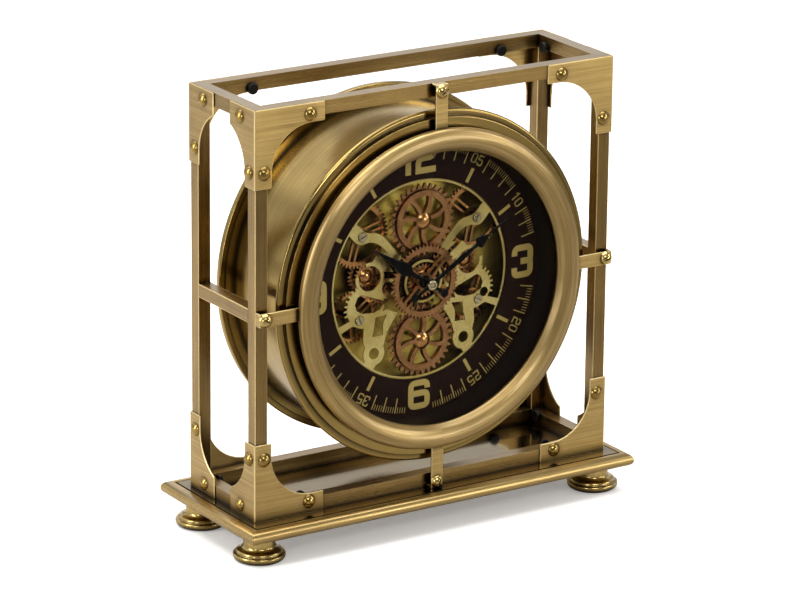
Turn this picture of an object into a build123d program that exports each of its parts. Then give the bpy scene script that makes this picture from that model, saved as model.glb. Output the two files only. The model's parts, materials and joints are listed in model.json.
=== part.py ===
from build123d import *
import math
import os

# Table clock: a drum with a skeleton gear dial hangs from four strips in an open
# frame of square brass tube, which stands on a moulded base with four turned feet.
# Millimetres, +Z up, the dial faces -Y, the origin lies on the table below the middle.

# Clearances
face_gap = 0.3          # between pieces that are only fitted
running_gap = 0.05      # a shaft in its hole
tooth_backlash = 0.16   # thickness taken off each tooth at the pitch circle

# Base
foot_height = 19.5
foot_rim_radius = 18.75
foot_rim_height = 3.8
foot_sole_radius = 15.0
foot_band_radius = 18.2
foot_band_height = 5.2
foot_groove_radius = 16.6
foot_groove_height = 5.8
foot_shoulder_radius = 15.2
foot_shoulder_height = 7.9
foot_cove_radius = 13.5
foot_neck_radius = 11.4
foot_neck_height = 11.0
foot_groove_width = 0.6
foot_band_swell = 0.25
foot_ogee_swell = 1.2
foot_ogee_drop = 0.9
foot_cove_step = 0.6
foot_cove_hollow = 0.5
foot_cove_lift = 0.1
foot_inset_x = 20.0
foot_inset_y = 24.5
moulding_height = 9.5
moulding_top_round = 5.0
moulding_bottom_round = 4.2
moulding_border = 7.5
groove_width = 1.2
plate_thickness = 2.0
plate_margin_x = 5.8
plate_margin_y = 12.3
pocket_depth = 5.5
pocket_wall_x = 34.0
pocket_wall_y = 12.0
foot_screw_radius = 2.0
foot_screw_head_radius = 4.5
foot_screw_head_height = 3.0

# Frame
frame_depth = 88.0
frame_side_room = 8.0       # between the drum's widest ring and the posts
frame_extra_height = 2.0    # by which the frame is taller than wide
tube_side = 10.0
tube_wall = 1.2

# Corner gussets and their rivets
gusset_sheet = 1.2
gusset_bend_round = 1.0
gusset_height = 57.0
gusset_front_reach = 57.0
gusset_side_reach = 34.0
gusset_arm = 14.0
gusset_curve_centre = 47.0
gusset_curve_radius = 33.0
rivet_radius = 5.2
rivet_dome = 3.0
rivet_shank_radius = 1.5
front_rail_rivet = 45.0
side_rail_rivet = 20.0
rivet_from_edge = 8.0
post_rivet_height = 45.5
rivet_tail = 0.8
nut_radius = 4.0
nut_height = 3.0
nut_cap = 0.8
nut_round = 0.8

# Hanger strips between frame and drum
strip_width = 10.0
strip_thickness = 1.8
strip_screw_radius = 5.2
strip_screw_dome = 3.6
strip_screw_shank = 1.6
strip_slot_width = 1.2
strip_slot_depth = 1.0
strip_screw_inset = 5.0
strip_slot_turns = (0.35, 0.9, 2.5, 1.2)
slot_reach = 3.0            # length of a slot's cutter, in radii of the screw's head
spacer_radius = 3.0

# Drum, with depths along Y and the dial side negative. Its radii follow from the barrel's.
barrel_radius = 120.0
barrel_wall = 2.5
neck_set_in = 5.0
neck_wall = 3.0
neck_back = -43.0
bezel_back = -50.2
bezel_overhang = 3.0
bezel_side_front = -53.4
bezel_crest_set_in = 10.0
bezel_crest_depth = -57.3
bezel_roll_set_in = 3.6
bezel_roll_depth = -56.1
bezel_slope_set_in = 14.2
bezel_slope_depth = -54.9
bezel_lip_set_in = 17.0
bezel_lip_depth = -51.0
glass_front = -48.9
glass_thickness = 2.5
glass_rebate = 2.5
step_ring_rise = 4.5
step_ring_front = -45.0
bead_front = -42.0
bead_back = -38.0
bead_rise = 10.0
bead_shoulder_drop = 2.0
flange_front = 34.0
flange_rise = 11.0
flange_lip_drop = 4.5
flange_step = 1.2
flange_back = 40.0
cover_seat = 36.0
cover_set_in = 3.5
cover_seat_width = 6.5
cover_seat_thickness = 2.0
cover_thickness = 2.0
cover_screw_inset = 3.2
cover_screw_count = 6
cover_screw_start = 30.0
cover_screw_radius = 1.2
cover_screw_head_radius = 2.4
cover_screw_head_height = 1.4

# Dial and static mechanism
rehaut_set_back = 0.6
rehaut_wall = 1.6
rehaut_flange = 1.2
dial_front = -24.6
dial_thickness = 1.0
dial_window_radius = 74.5
dial_skirt_wall = 1.5
skeleton_thickness = 1.0
skeleton_ring_inner = 72.5
skeleton_ring_outer = 80.0
back_plate_front = -8.0
back_plate_thickness = 1.5
back_plate_margin = 1.3
plate_shelf_overlap = 5.5
plate_shelf_thickness = 2.0
post_radius = 1.5
plate_screw_head_radius = 3.2
plate_screw_head_height = 1.0
plate_screw_shank = 0.9
plate_screw_length = 5.0
plate_screw_slot = 0.7
plate_slot_turns = (0.4, 1.1, 2.0, 2.7)
post_tip = 0.8
post_end_gap = 0.3

# Skeleton plate, points across and up from the dial's centre on its left half
arm_top_edge = ((-54.5, 50.6), (-49.8, 45.3), (-44.5, 41.3), (-36.8, 39.9), (-27.5, 32.8), (-15.5, 19.7))
hook_edge = ((-16.8, 16.6), (-22.0, 17.1), (-26.4, 19.7), (-31.6, 23.4))
arm_bottom_edge = ((-27.2, 23.6), (-29.8, 26.6), (-37.7, 32.7), (-43.8, 33.8), (-50.7, 33.2), (-54.6, 35.8),
                   (-60.5, 42.6))
prong_outline = ((-40.3, 18.6), (-36.9, 23.1), (-26.1, 15.6), (-22.4, 8.9), (-30.0, 10.5), (-33.0, 14.0))
plate_disc_centre = (-45.5, -14.0)
plate_disc_radius = 15.5
plate_tooth_tip = 18.0
plate_tooth_count = 7
plate_tooth_pitch = 2 * math.pi / 28
plate_tooth_start = math.radians(118.0)
plate_tooth_root_share = 0.32
plate_tooth_tip_share = 0.13
plate_tooth_sink = 1.0
disc_opening = ((-54.4, -10.7), (-52.3, -5.7), (-49.0, -4.0), (-31.1, -10.7), (-28.6, -12.8),
                (-32.4, -16.9), (-38.6, -19.0), (-46.9, -18.6), (-52.8, -15.7))
leg_left_edge = ((-17.6, -22.4), (-28.0, -18.0), (-46.7, -26.0), (-47.4, -38.9), (-45.0, -47.6))
leg_arc_end = (-29.8, -44.2)
leg_arc_middle = (-25.9, -33.1)
leg_arc_start = (-17.6, -22.4)
leg_opening = ((-37.1, -22.8), (-27.6, -22.0), (-30.6, -28.1), (-30.8, -36.8),
               (-39.8, -37.0), (-38.0, -30.2))
side_arm_outline = ((-48.0, -19.0), (-56.3, -21.5), (-73.0, -27.0), (-71.0, -32.8),
                    (-56.7, -26.3), (-51.0, -28.0))
pad_centre = (-38.2, -49.6)
pad_radius = 9.0
pad_hole_radius = 4.2
pad_arm_outline = ((-45.5, -54.5), (-49.0, -57.5), (-40.0, -64.0), (-36.5, -58.0))
boss_radius = 5.2
relay_ring_outer = 12.0
relay_ring_inner = 9.3
relay_ring_cut = 16.0
relay_ring_gap = (math.radians(108.0), math.radians(168.0))
idler_ring_outer = 7.5
idler_ring_inner = 5.0
plate_hole_centre = (55.6, -18.2)
plate_hole_radius = 3.5

# Gears
pressure_angle = math.radians(25.0)
addendum = 0.9
dedendum = 1.25
train_module = 1.0
drive_module = 1.6
ring_gear_teeth = 54
centre_pinion_teeth = 24
drive_teeth = 24
rear_wheel_teeth = 24
satellite_teeth = 32
idler_teeth = 30
idler_pinion_teeth = 12
relay_teeth = 24
relay_pinion_teeth = 17
upper_teeth = 48
lower_teeth = 38
motor_teeth = 10
gear_thickness = 2.0
drive_front = -26.0
drive_thickness = 2.1
ring_gear_front = -31.0
centre_pinion_front = -27.6
centre_pinion_thickness = 1.4
layer_a_front = -17.5
layer_b_front = -14.5
layer_c_front = -11.5
idler_angle = math.radians(185.8)
relay_offset_z = 7.0
upper_angle = math.radians(101.5)
lower_angle = math.radians(-106.0)
motor_angle = math.radians(-126.0)
sleeve_radius = 4.6
sleeve_stand = 0.6
rail_gap = 2.8
rail_width = 1.7
rim_overlap = 0.5
centre_hub_radius = 8.0
centre_hub_rise = 1.3
ring_gear_rim = 22.3
ring_gear_hub = 6.5
arc_ring_outer = 16.0
arc_ring_inner = 14.2
arc_ring_thickness = 0.8
satellite_ring_outer = 22.3
satellite_ring_inner = 18.1
satellite_rise = 2.0
satellite_spoke_count = 7
satellite_spoke_width = 3.1
satellite_spoke_sweep = 8.0
spoke_bow_share = 0.1
satellite_hub_radius = 6.5
satellite_hub_rise = 2.6
idler_cap_radius = 4.0
idler_cap_rise = 1.4
relay_cap_radius = 5.6
relay_cap_rise = 2.4
step_sleeve_radius = 4.0
wheel_hub_radius = 6.0
wheel_hub_rise = 1.0
upper_rim = 20.0
lower_rim = 16.0
open_spoke_count = 3

# Turns of the gears' first spokes at rest, in degrees
ring_gear_rail_turn = 45.0
ring_gear_bar_turn = 135.0
top_spoke_turn = 175.0
bottom_spoke_turn = 88.0
upper_left_spoke_turn = 15.0
upper_right_spoke_turn = 20.0
lower_left_spoke_turn = 35.0
lower_right_spoke_turn = 70.0

# Hands and movement
movement_side = 56.0
movement_depth = 16.0
movement_corner = 4.0
bush_radius = 3.2
bush_front = -34.5
pipe_radius = 2.2
shaft_radius = 1.2
hour_hand_front = -37.0
minute_hand_front = -39.4
hand_thickness = 1.0
hour_hand_angle = math.radians(90.0 - 304.5)
minute_hand_angle = math.radians(90.0 - 58.6)
cap_radius = 3.8
cap_height = 2.3
cap_recess_radius = 2.0
cap_recess_depth = 0.9
cap_round = 0.8
hand_hub_radius = 4.2
hand_tail = 16.0
hand_tail_width = 2.4
hand_blob_radius = 3.0
hour_stem = ((12.0, 1.5), (18.0, 1.6))
hour_blade = ((18.0, 1.6), (25.0, 4.75), (32.0, 3.6), (40.0, 2.0))
hour_tip = (57.2, 0.25)
minute_stem = ((12.0, 1.5), (32.0, 2.25), (41.0, 1.2), (45.6, 1.5))
minute_blade = ((45.6, 1.5), (47.5, 4.25), (53.0, 2.6), (60.0, 1.2))
minute_tip = (76.5, 0.2)
pipe_back = -3.0
shaft_back = -1.0
knob_offset_x = 14.0
knob_offset_z = -14.0
knob_radius = 9.0
knob_height = 7.0
knob_stem_radius = 2.0
knob_stem_front = 5.0
knob_flute_radius = 1.0
knob_flute_count = 18
motor_radius = 12.0
motor_length = 20.0
motor_shaft_back = -3.0

# Power
battery_radius = 7.25
battery_length = 50.5
battery_tip_radius = 2.6
battery_tip_length = 1.2
battery_end_room = 1.0
battery_box_wall = 1.6
battery_offset_z = 46.0
battery_depth = 16.0
battery_cover_rim = 4.0
battery_cover_thickness = 1.6
battery_cover_lip = 1.4
battery_cover_corner = 2.0
switch_offset_x = 45.0
switch_width = 6.0
switch_height = 4.0
switch_travel = 4.0
switch_tab = 1.7
switch_flange = 4.0
switch_flange_thickness = 1.2

# Worked out from the sizes above
base_top = foot_height + moulding_height
neck_radius = barrel_radius - neck_set_in
neck_bore = neck_radius - neck_wall
bezel_radius = neck_radius + bezel_overhang
bezel_roll_radius = bezel_radius - bezel_roll_set_in
bezel_crest_radius = bezel_radius - bezel_crest_set_in
bezel_slope_radius = bezel_radius - bezel_slope_set_in
bezel_lip_radius = bezel_radius - bezel_lip_set_in
glass_radius = bezel_lip_radius + glass_rebate
step_ring_radius = barrel_radius + step_ring_rise
bead_radius = barrel_radius + bead_rise
bead_shoulder_radius = bead_radius - bead_shoulder_drop
flange_radius = barrel_radius + flange_rise
flange_lip_radius = flange_radius - flange_lip_drop
cover_radius = barrel_radius - cover_set_in
cover_seat_radius = cover_radius - cover_seat_width
cover_screw_circle = cover_radius - cover_screw_inset
half_width = flange_radius + frame_side_room + tube_side
frame_height = 2 * half_width + frame_extra_height
half_depth = frame_depth / 2
frame_top = base_top + frame_height
drum_height = base_top + frame_height / 2
plate_half_x = half_width + plate_margin_x
plate_half_y = half_depth + plate_margin_y
base_half_x = plate_half_x + groove_width + moulding_border
base_half_y = plate_half_y + groove_width + moulding_border
foot_x = base_half_x - foot_inset_x
foot_y = base_half_y - foot_inset_y
glass_back = glass_front + glass_thickness
neck_clear_radius = neck_bore - face_gap
dial_back = dial_front + dial_thickness
rehaut_radius = bezel_lip_radius + rehaut_set_back
dial_radius = rehaut_radius + rehaut_wall
back_plate_radius = dial_radius + back_plate_margin
plate_shelf_radius = back_plate_radius - plate_shelf_overlap
skeleton_back = dial_back + skeleton_thickness
back_plate_back = back_plate_front + back_plate_thickness
cover_back = cover_seat + cover_thickness
barrel_bore = barrel_radius - barrel_wall
post_bore = post_radius + running_gap

drive_radius = drive_module * drive_teeth / 2
satellite_radius = drive_module * satellite_teeth / 2
satellite_offset = drive_radius + satellite_radius
idler_offset = train_module * (rear_wheel_teeth + idler_teeth) / 2
relay_reach = train_module * (idler_pinion_teeth + relay_teeth) / 2
upper_reach = train_module * (relay_pinion_teeth + upper_teeth) / 2
lower_reach = train_module * (relay_teeth + lower_teeth) / 2
motor_reach = train_module * (lower_teeth + motor_teeth) / 2


def polar(centre, radius, angle):
    # Point at a distance and an angle from a centre on the dial
    return (centre[0] + radius * math.cos(angle), centre[1] + radius * math.sin(angle))


def mirrored(point):
    return (-point[0], point[1])


def mesh_phase(teeth, phase, other_teeth, centre, other_centre):
    # Angle of a tooth of the second gear that meshes with the first at rest
    direction = math.atan2(other_centre[1] - centre[1], other_centre[0] - centre[0])
    return direction + math.pi - (math.pi - teeth * (direction - phase)) / other_teeth


def relay_centre(idler):
    # The relay gear sits where its pinion line meets the idler's at the right distance
    wanted = relay_offset_z - idler[1]
    return (idler[0] - math.sqrt(relay_reach**2 - wanted**2), relay_offset_z)


centre_axis = (0.0, 0.0)
top_axis = (0.0, satellite_offset)
bottom_axis = (0.0, -satellite_offset)
idler_left_axis = polar(centre_axis, idler_offset, idler_angle)
relay_left_axis = relay_centre(idler_left_axis)
upper_left_axis = polar(relay_left_axis, upper_reach, upper_angle)
lower_left_axis = polar(relay_left_axis, lower_reach, lower_angle)
idler_right_axis = mirrored(idler_left_axis)
relay_right_axis = mirrored(relay_left_axis)
upper_right_axis = mirrored(upper_left_axis)
lower_right_axis = mirrored(lower_left_axis)
motor_axis = polar(lower_right_axis, motor_reach, motor_angle)

drive_phase = 0.0
rear_wheel_phase = 0.0
top_phase = mesh_phase(drive_teeth, drive_phase, satellite_teeth, centre_axis, top_axis)
bottom_phase = mesh_phase(drive_teeth, drive_phase, satellite_teeth, centre_axis, bottom_axis)


def side_phases(idler_axis, relay_axis, upper_axis, lower_axis):
    # Idler, relay, upper and lower gear phases of one side, from the rear centre wheel
    idler = mesh_phase(rear_wheel_teeth, rear_wheel_phase, idler_teeth, centre_axis, idler_axis)
    relay = mesh_phase(idler_pinion_teeth, idler, relay_teeth, idler_axis, relay_axis)
    upper = mesh_phase(relay_pinion_teeth, relay, upper_teeth, relay_axis, upper_axis)
    lower = mesh_phase(relay_teeth, relay, lower_teeth, relay_axis, lower_axis)
    return idler, relay, upper, lower


left_phases = side_phases(idler_left_axis, relay_left_axis, upper_left_axis, lower_left_axis)
right_phases = side_phases(idler_right_axis, relay_right_axis, upper_right_axis, lower_right_axis)
motor_phase = mesh_phase(lower_teeth, right_phases[3], motor_teeth, lower_right_axis, motor_axis)


def dial_plane(depth, centre=(0.0, 0.0), turn=0.0):
    # Plane seen from the front at a depth, its origin at a point on the dial,
    # extruding towards the viewer
    origin = (centre[0], depth, drum_height + centre[1])
    return Plane(origin=origin, x_dir=(math.cos(turn), 0, math.sin(turn)), z_dir=(0, -1, 0))


def finish_piece(piece, name):
    piece.label = name
    export_step(piece, f"parts/{name}.step")


os.makedirs("parts", exist_ok=True)

# Base moulding: rounded edge on all four sides with sharp mitred corners
moulding_middle = foot_height + moulding_height / 2


def moulding_section(plane, half_length):
    with BuildSketch(plane) as section:
        with Locations((0, moulding_middle)):
            Rectangle(2 * half_length, moulding_height)
        fillet(section.vertices().group_by(Axis.Y)[-1], moulding_top_round)
        fillet(section.vertices().group_by(Axis.Y)[0], moulding_bottom_round)
    return section.sketch


with BuildPart() as base_moulding:
    extrude(moulding_section(Plane.YZ, base_half_y), amount=base_half_x, both=True)
    extrude(moulding_section(Plane.XZ, base_half_x), amount=base_half_y, both=True, mode=Mode.INTERSECT)
    with BuildSketch(Plane.XY.offset(base_top - plate_thickness)):
        Rectangle(2 * (plate_half_x + groove_width), 2 * (plate_half_y + groove_width))
    extrude(amount=plate_thickness, mode=Mode.SUBTRACT)
    with BuildSketch(Plane.XY.offset(foot_height)):
        Rectangle(2 * (base_half_x - pocket_wall_x), 2 * (base_half_y - pocket_wall_y))
    extrude(amount=pocket_depth, mode=Mode.SUBTRACT)
    with BuildSketch(Plane.XY.offset(foot_height)):
        with GridLocations(2 * foot_x, 2 * foot_y, 2, 2):
            Circle(foot_screw_radius)
    extrude(amount=moulding_height, mode=Mode.SUBTRACT)
finish_piece(base_moulding.part, "base_moulding")

# Polished plate let into the moulding
with BuildPart() as base_plate:
    with BuildSketch(Plane.XY.offset(base_top - plate_thickness)):
        Rectangle(2 * plate_half_x, 2 * plate_half_y)
        with GridLocations(2 * foot_x, 2 * foot_y, 2, 2):
            Circle(foot_screw_radius, mode=Mode.SUBTRACT)
    extrude(amount=plate_thickness)
finish_piece(base_plate.part, "base_plate")


def foot_profile():
    # Half section of a turned foot, radius along X and height along Y
    rim_low = (foot_sole_radius, 0)
    rim_wide = (foot_rim_radius, foot_rim_height)
    band = (foot_band_radius, foot_band_height)
    shoulder = (foot_shoulder_radius, foot_shoulder_height)
    cove = (foot_cove_radius, foot_shoulder_height + foot_cove_step)
    neck = (foot_neck_radius, foot_neck_height)
    groove_low = (foot_groove_radius, foot_groove_height - foot_groove_width / 2)
    groove_high = (foot_groove_radius, foot_groove_height + foot_groove_width / 2)
    Line((0, 0), rim_low)
    TangentArc(rim_low, rim_wide, tangent=(1, 0))
    ThreePointArc(rim_wide, ((foot_rim_radius + foot_band_radius) / 2 + foot_band_swell,
                             (foot_rim_height + foot_band_height) / 2), band)
    Line(band, groove_low)
    Line(groove_low, groove_high)
    ThreePointArc(groove_high, (foot_shoulder_radius + foot_ogee_swell,
                                foot_shoulder_height - foot_ogee_drop), shoulder)
    Line(shoulder, cove)
    ThreePointArc(cove, ((foot_cove_radius + foot_neck_radius) / 2 - foot_cove_hollow,
                         (cove[1] + foot_neck_height) / 2 + foot_cove_lift), neck)
    Line(neck, (foot_neck_radius, foot_height))
    Line((foot_neck_radius, foot_height), (0, foot_height))
    Line((0, foot_height), (0, 0))


with BuildPart() as one_foot:
    with BuildSketch(Plane.XZ):
        with BuildLine():
            foot_profile()
        make_face()
    revolve(axis=Axis.Z)
    with BuildSketch(Plane.XY):
        Circle(foot_screw_radius)
    extrude(amount=foot_height, mode=Mode.SUBTRACT)
    with BuildSketch(Plane.XY):
        Circle(foot_screw_head_radius)
    extrude(amount=2 * foot_screw_head_height, mode=Mode.SUBTRACT)

with BuildPart() as feet:
    with GridLocations(2 * foot_x, 2 * foot_y, 2, 2):
        add(one_foot.part)
finish_piece(feet.part, "feet")

# Long screws, their heads sunk in the feet, up into the corners of the lower frame
with BuildPart() as foot_screws:
    with BuildSketch(Plane.XY.offset(foot_screw_head_height)):
        with GridLocations(2 * foot_x, 2 * foot_y, 2, 2):
            Circle(foot_screw_head_radius - face_gap)
    extrude(amount=foot_screw_head_height)
    with BuildSketch(Plane.XY.offset(foot_screw_head_height)):
        with GridLocations(2 * foot_x, 2 * foot_y, 2, 2):
            Circle(foot_screw_radius)
    extrude(amount=base_top + tube_side / 2 - foot_screw_head_height)
finish_piece(foot_screws.part, "foot_screws")

# Frame. Rails are mitred at the corners, posts stand between the lower and upper rails.
front_rivet_x = half_width + gusset_sheet - front_rail_rivet
side_rivet_y = half_depth + gusset_sheet - side_rail_rivet
top_rivet_z = frame_top - rivet_from_edge
bottom_rivet_z = base_top + rivet_from_edge
post_bore_side = tube_side - 2 * tube_wall


def long_rail(low, depth_sign, name, bored):
    # Front or rear rail with its rivet, hanger and foot screw holes
    outer = depth_sign * half_depth
    inner = depth_sign * (half_depth - tube_side)
    with BuildPart() as rail:
        with BuildSketch(Plane.XY.offset(low)):
            with BuildLine():
                Polyline((-half_width, outer), (half_width, outer), (half_width - tube_side, inner),
                         (tube_side - half_width, inner), close=True)
            make_face()
        extrude(amount=tube_side)
        with BuildSketch(Plane.YZ):
            with Locations(((outer + inner) / 2, low + tube_side / 2)):
                Rectangle(post_bore_side, post_bore_side)
        extrude(amount=half_width, both=True, mode=Mode.SUBTRACT)
        rivet_z = top_rivet_z if bored == "hanger" else bottom_rivet_z
        with BuildSketch(Plane.XZ):
            with Locations((-front_rivet_x, rivet_z), (front_rivet_x, rivet_z)):
                Circle(rivet_shank_radius)
        extrude(amount=half_depth, both=True, mode=Mode.SUBTRACT)
        if depth_sign < 0:
            with BuildSketch(Plane.XZ.offset(half_depth - tube_wall)):
                with Locations((0, drum_height + top_hanger_point * (1 if bored == "hanger" else -1))):
                    Circle(strip_screw_shank)
            extrude(amount=tube_wall, mode=Mode.SUBTRACT)
        if bored == "foot":
            with BuildSketch(Plane.XY.offset(low)):
                with Locations((-foot_x, depth_sign * foot_y), (foot_x, depth_sign * foot_y)):
                    Circle(foot_screw_radius)
            extrude(amount=tube_side / 2, mode=Mode.SUBTRACT)
    finish_piece(rail.part, name)


def short_rails(low, name, bored):
    # Left and right rails between the front and rear ones
    with BuildPart() as rails:
        for side in (-1, 1):
            outer = side * half_width
            inner = side * (half_width - tube_side)
            with BuildSketch(Plane.XY.offset(low)):
                with BuildLine():
                    Polyline((outer, -half_depth), (outer, half_depth), (inner, half_depth - tube_side),
                             (inner, tube_side - half_depth), close=True)
                make_face()
            extrude(amount=tube_side)
            with BuildSketch(Plane.XZ):
                with Locations(((outer + inner) / 2, low + tube_side / 2)):
                    Rectangle(post_bore_side, post_bore_side)
            extrude(amount=half_depth, both=True, mode=Mode.SUBTRACT)
        rivet_z = top_rivet_z if bored == "hanger" else bottom_rivet_z
        with BuildSketch(Plane.YZ):
            with Locations((-side_rivet_y, rivet_z), (side_rivet_y, rivet_z)):
                Circle(rivet_shank_radius)
        extrude(amount=half_width, both=True, mode=Mode.SUBTRACT)
        if bored == "foot":
            with BuildSketch(Plane.XY.offset(low)):
                with GridLocations(2 * foot_x, 2 * foot_y, 2, 2):
                    Circle(foot_screw_radius)
            extrude(amount=tube_side / 2, mode=Mode.SUBTRACT)
    finish_piece(rails.part, name)


top_hanger_point = frame_height / 2 - strip_screw_inset
side_hanger_point = half_width - strip_screw_inset
long_rail(frame_top - tube_side, -1, "top_rail_front", "hanger")
long_rail(frame_top - tube_side, 1, "top_rail_rear", "hanger")
short_rails(frame_top - tube_side, "top_side_rails", "hanger")
long_rail(base_top, -1, "bottom_rail_front", "foot")
long_rail(base_top, 1, "bottom_rail_rear", "foot")
short_rails(base_top, "bottom_side_rails", "foot")

# Rails half way up each side, between the posts
with BuildPart() as middle_side_rails:
    for side in (-1, 1):
        with BuildSketch(Plane.XZ):
            with Locations((side * (half_width - tube_side / 2), drum_height)):
                Rectangle(tube_side, tube_side)
                Rectangle(post_bore_side, post_bore_side, mode=Mode.SUBTRACT)
        extrude(amount=half_depth - tube_side, both=True)
finish_piece(middle_side_rails.part, "middle_side_rails")

post_rivet_levels = (base_top + post_rivet_height, frame_top - post_rivet_height)
post_rivet_x = half_width + gusset_sheet - rivet_from_edge
post_rivet_y = half_depth + gusset_sheet - rivet_from_edge


def frame_post(side, depth_sign, name):
    centre_x = side * (half_width - tube_side / 2)
    centre_y = depth_sign * (half_depth - tube_side / 2)
    with BuildPart() as post:
        with BuildSketch(Plane.XY.offset(base_top + tube_side)):
            with Locations((centre_x, centre_y)):
                Rectangle(tube_side, tube_side)
                Rectangle(post_bore_side, post_bore_side, mode=Mode.SUBTRACT)
        extrude(amount=frame_height - 2 * tube_side)
        with BuildSketch(Plane.XZ.offset(-depth_sign * (half_depth - tube_wall))):
            with Locations(*[(side * post_rivet_x, level) for level in post_rivet_levels]):
                Circle(rivet_shank_radius)
        extrude(amount=-depth_sign * tube_wall, mode=Mode.SUBTRACT)
        with BuildSketch(Plane.YZ.offset(side * (half_width - tube_wall))):
            with Locations(*[(depth_sign * post_rivet_y, level) for level in post_rivet_levels]):
                Circle(rivet_shank_radius)
        extrude(amount=side * tube_wall, mode=Mode.SUBTRACT)
        if depth_sign < 0:
            with BuildSketch(Plane.XZ.offset(half_depth - tube_wall)):
                with Locations((side * side_hanger_point, drum_height)):
                    Circle(strip_screw_shank)
            extrude(amount=tube_wall, mode=Mode.SUBTRACT)
    finish_piece(post.part, name)


frame_post(-1, -1, "post_front_left")
frame_post(1, -1, "post_front_right")
frame_post(-1, 1, "post_rear_left")
frame_post(1, 1, "post_rear_right")


def gusset_outline(reach, corner, inward, upward):
    # Outline of one face of a gusset, drawn from its corner along the rail and the post
    def place(along, up):
        return (corner[0] + inward * along, corner[1] + upward * up)

    arm_start = gusset_curve_centre
    curve_drop = math.sqrt(gusset_curve_radius**2 - (gusset_curve_centre - gusset_arm)**2)
    rail_end = gusset_curve_centre - curve_drop
    post_end = gusset_curve_centre + curve_drop
    if reach < rail_end:
        arm_start = reach
        rise = gusset_curve_centre - math.sqrt(gusset_curve_radius**2 - (gusset_curve_centre - reach)**2)
        rail_corner = [(reach, 0), (reach, rise)]
        curve_start = (reach, rise)
    else:
        rail_corner = [(reach, 0), (reach, gusset_arm), (rail_end, gusset_arm)]
        curve_start = (rail_end, gusset_arm)
    middle = gusset_curve_centre - gusset_curve_radius * math.sqrt(0.5)
    points = [place(0, 0)] + [place(*point) for point in rail_corner]
    Polyline(*points)
    ThreePointArc(place(*curve_start), place(middle, middle), place(gusset_arm, post_end))
    Polyline(place(gusset_arm, post_end), place(gusset_arm, gusset_height), place(0, gusset_height),
             place(0, 0))


def build_gussets(upward, level, rail_rivet_z, post_rivet_z, name):
    # Four bent plates, each with a front or rear face and a side face
    with BuildPart() as gussets:
        for side in (-1, 1):
            for depth_sign in (-1, 1):
                with BuildSketch(Plane.XZ.offset(-depth_sign * half_depth)):
                    with BuildLine():
                        gusset_outline(gusset_front_reach, (side * (half_width + gusset_sheet), level),
                                       -side, upward)
                    make_face()
                    with Locations((side * front_rivet_x, rail_rivet_z),
                                   (side * post_rivet_x, post_rivet_z)):
                        Circle(rivet_shank_radius, mode=Mode.SUBTRACT)
                extrude(amount=-depth_sign * gusset_sheet)
                with BuildSketch(Plane.YZ.offset(side * half_width)):
                    with BuildLine():
                        gusset_outline(gusset_side_reach, (depth_sign * (half_depth + gusset_sheet), level),
                                       -depth_sign, upward)
                    make_face()
                    with Locations((depth_sign * side_rivet_y, rail_rivet_z),
                                   (depth_sign * post_rivet_y, post_rivet_z)):
                        Circle(rivet_shank_radius, mode=Mode.SUBTRACT)
                extrude(amount=side * gusset_sheet)
        bends = gussets.edges().filter_by(Axis.Z).group_by(
            lambda edge: round(math.hypot(edge.center().X, edge.center().Y), 2))[-1]
        fillet(bends, gusset_bend_round)
    finish_piece(gussets.part, name)


build_gussets(-1, frame_top, top_rivet_z, post_rivet_levels[1], "upper_gussets")
build_gussets(1, base_top, bottom_rivet_z, post_rivet_levels[0], "lower_gussets")


def face_spot(x, y, z, direction):
    # Place on a face for a piece drawn along +Z
    return Plane(origin=(x, y, z), x_dir=(-direction[1], direction[0], 0), z_dir=direction).location


def build_dome(radius, height, shank_radius, shank):
    # Dome head on a face at Z = 0 with a shank behind it
    sphere_radius = (radius**2 + height**2) / (2 * height)
    middle = (math.atan2(sphere_radius - height, radius) + math.pi / 2) / 2
    crown = (sphere_radius * math.cos(middle), height - sphere_radius + sphere_radius * math.sin(middle))
    shoulder = [(shank_radius, 0)] if shank_radius < radius else []
    with BuildPart() as dome:
        with BuildSketch(Plane.XZ):
            with BuildLine():
                Polyline((0, height), (0, -shank), (shank_radius, -shank), *shoulder, (radius, 0))
                ThreePointArc((radius, 0), crown, (0, height))
            make_face()
        revolve(axis=Axis.Z)
    return dome.part


# Dome rivets: those in the rails pass through to a nut, those in the posts are blind
rail_rivet = build_dome(rivet_radius, rivet_dome, rivet_shank_radius,
                        gusset_sheet + tube_side + nut_height - nut_cap)
post_rivet = build_dome(rivet_radius, rivet_dome, rivet_shank_radius, gusset_sheet + tube_wall + rivet_tail)
rail_rivet_spots = []
post_rivet_spots = []
nut_spots = []
for side in (-1, 1):
    for depth_sign in (-1, 1):
        front_y = depth_sign * (half_depth + gusset_sheet)
        side_x = side * (half_width + gusset_sheet)
        for rail_z, post_z in ((bottom_rivet_z, post_rivet_levels[0]), (top_rivet_z, post_rivet_levels[1])):
            rail_rivet_spots.append(face_spot(side * front_rivet_x, front_y, rail_z, (0, depth_sign, 0)))
            rail_rivet_spots.append(face_spot(side_x, depth_sign * side_rivet_y, rail_z, (side, 0, 0)))
            post_rivet_spots.append(face_spot(side * post_rivet_x, front_y, post_z, (0, depth_sign, 0)))
            post_rivet_spots.append(face_spot(side_x, depth_sign * post_rivet_y, post_z, (side, 0, 0)))
            nut_spots.append(face_spot(side * front_rivet_x, depth_sign * (half_depth - tube_side), rail_z,
                                       (0, -depth_sign, 0)))
            nut_spots.append(face_spot(side * (half_width - tube_side), depth_sign * side_rivet_y, rail_z,
                                       (-side, 0, 0)))

with BuildPart() as gusset_rivets:
    with Locations(*rail_rivet_spots):
        add(rail_rivet)
    with Locations(*post_rivet_spots):
        add(post_rivet)
finish_piece(gusset_rivets.part, "gusset_rivets")

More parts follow.
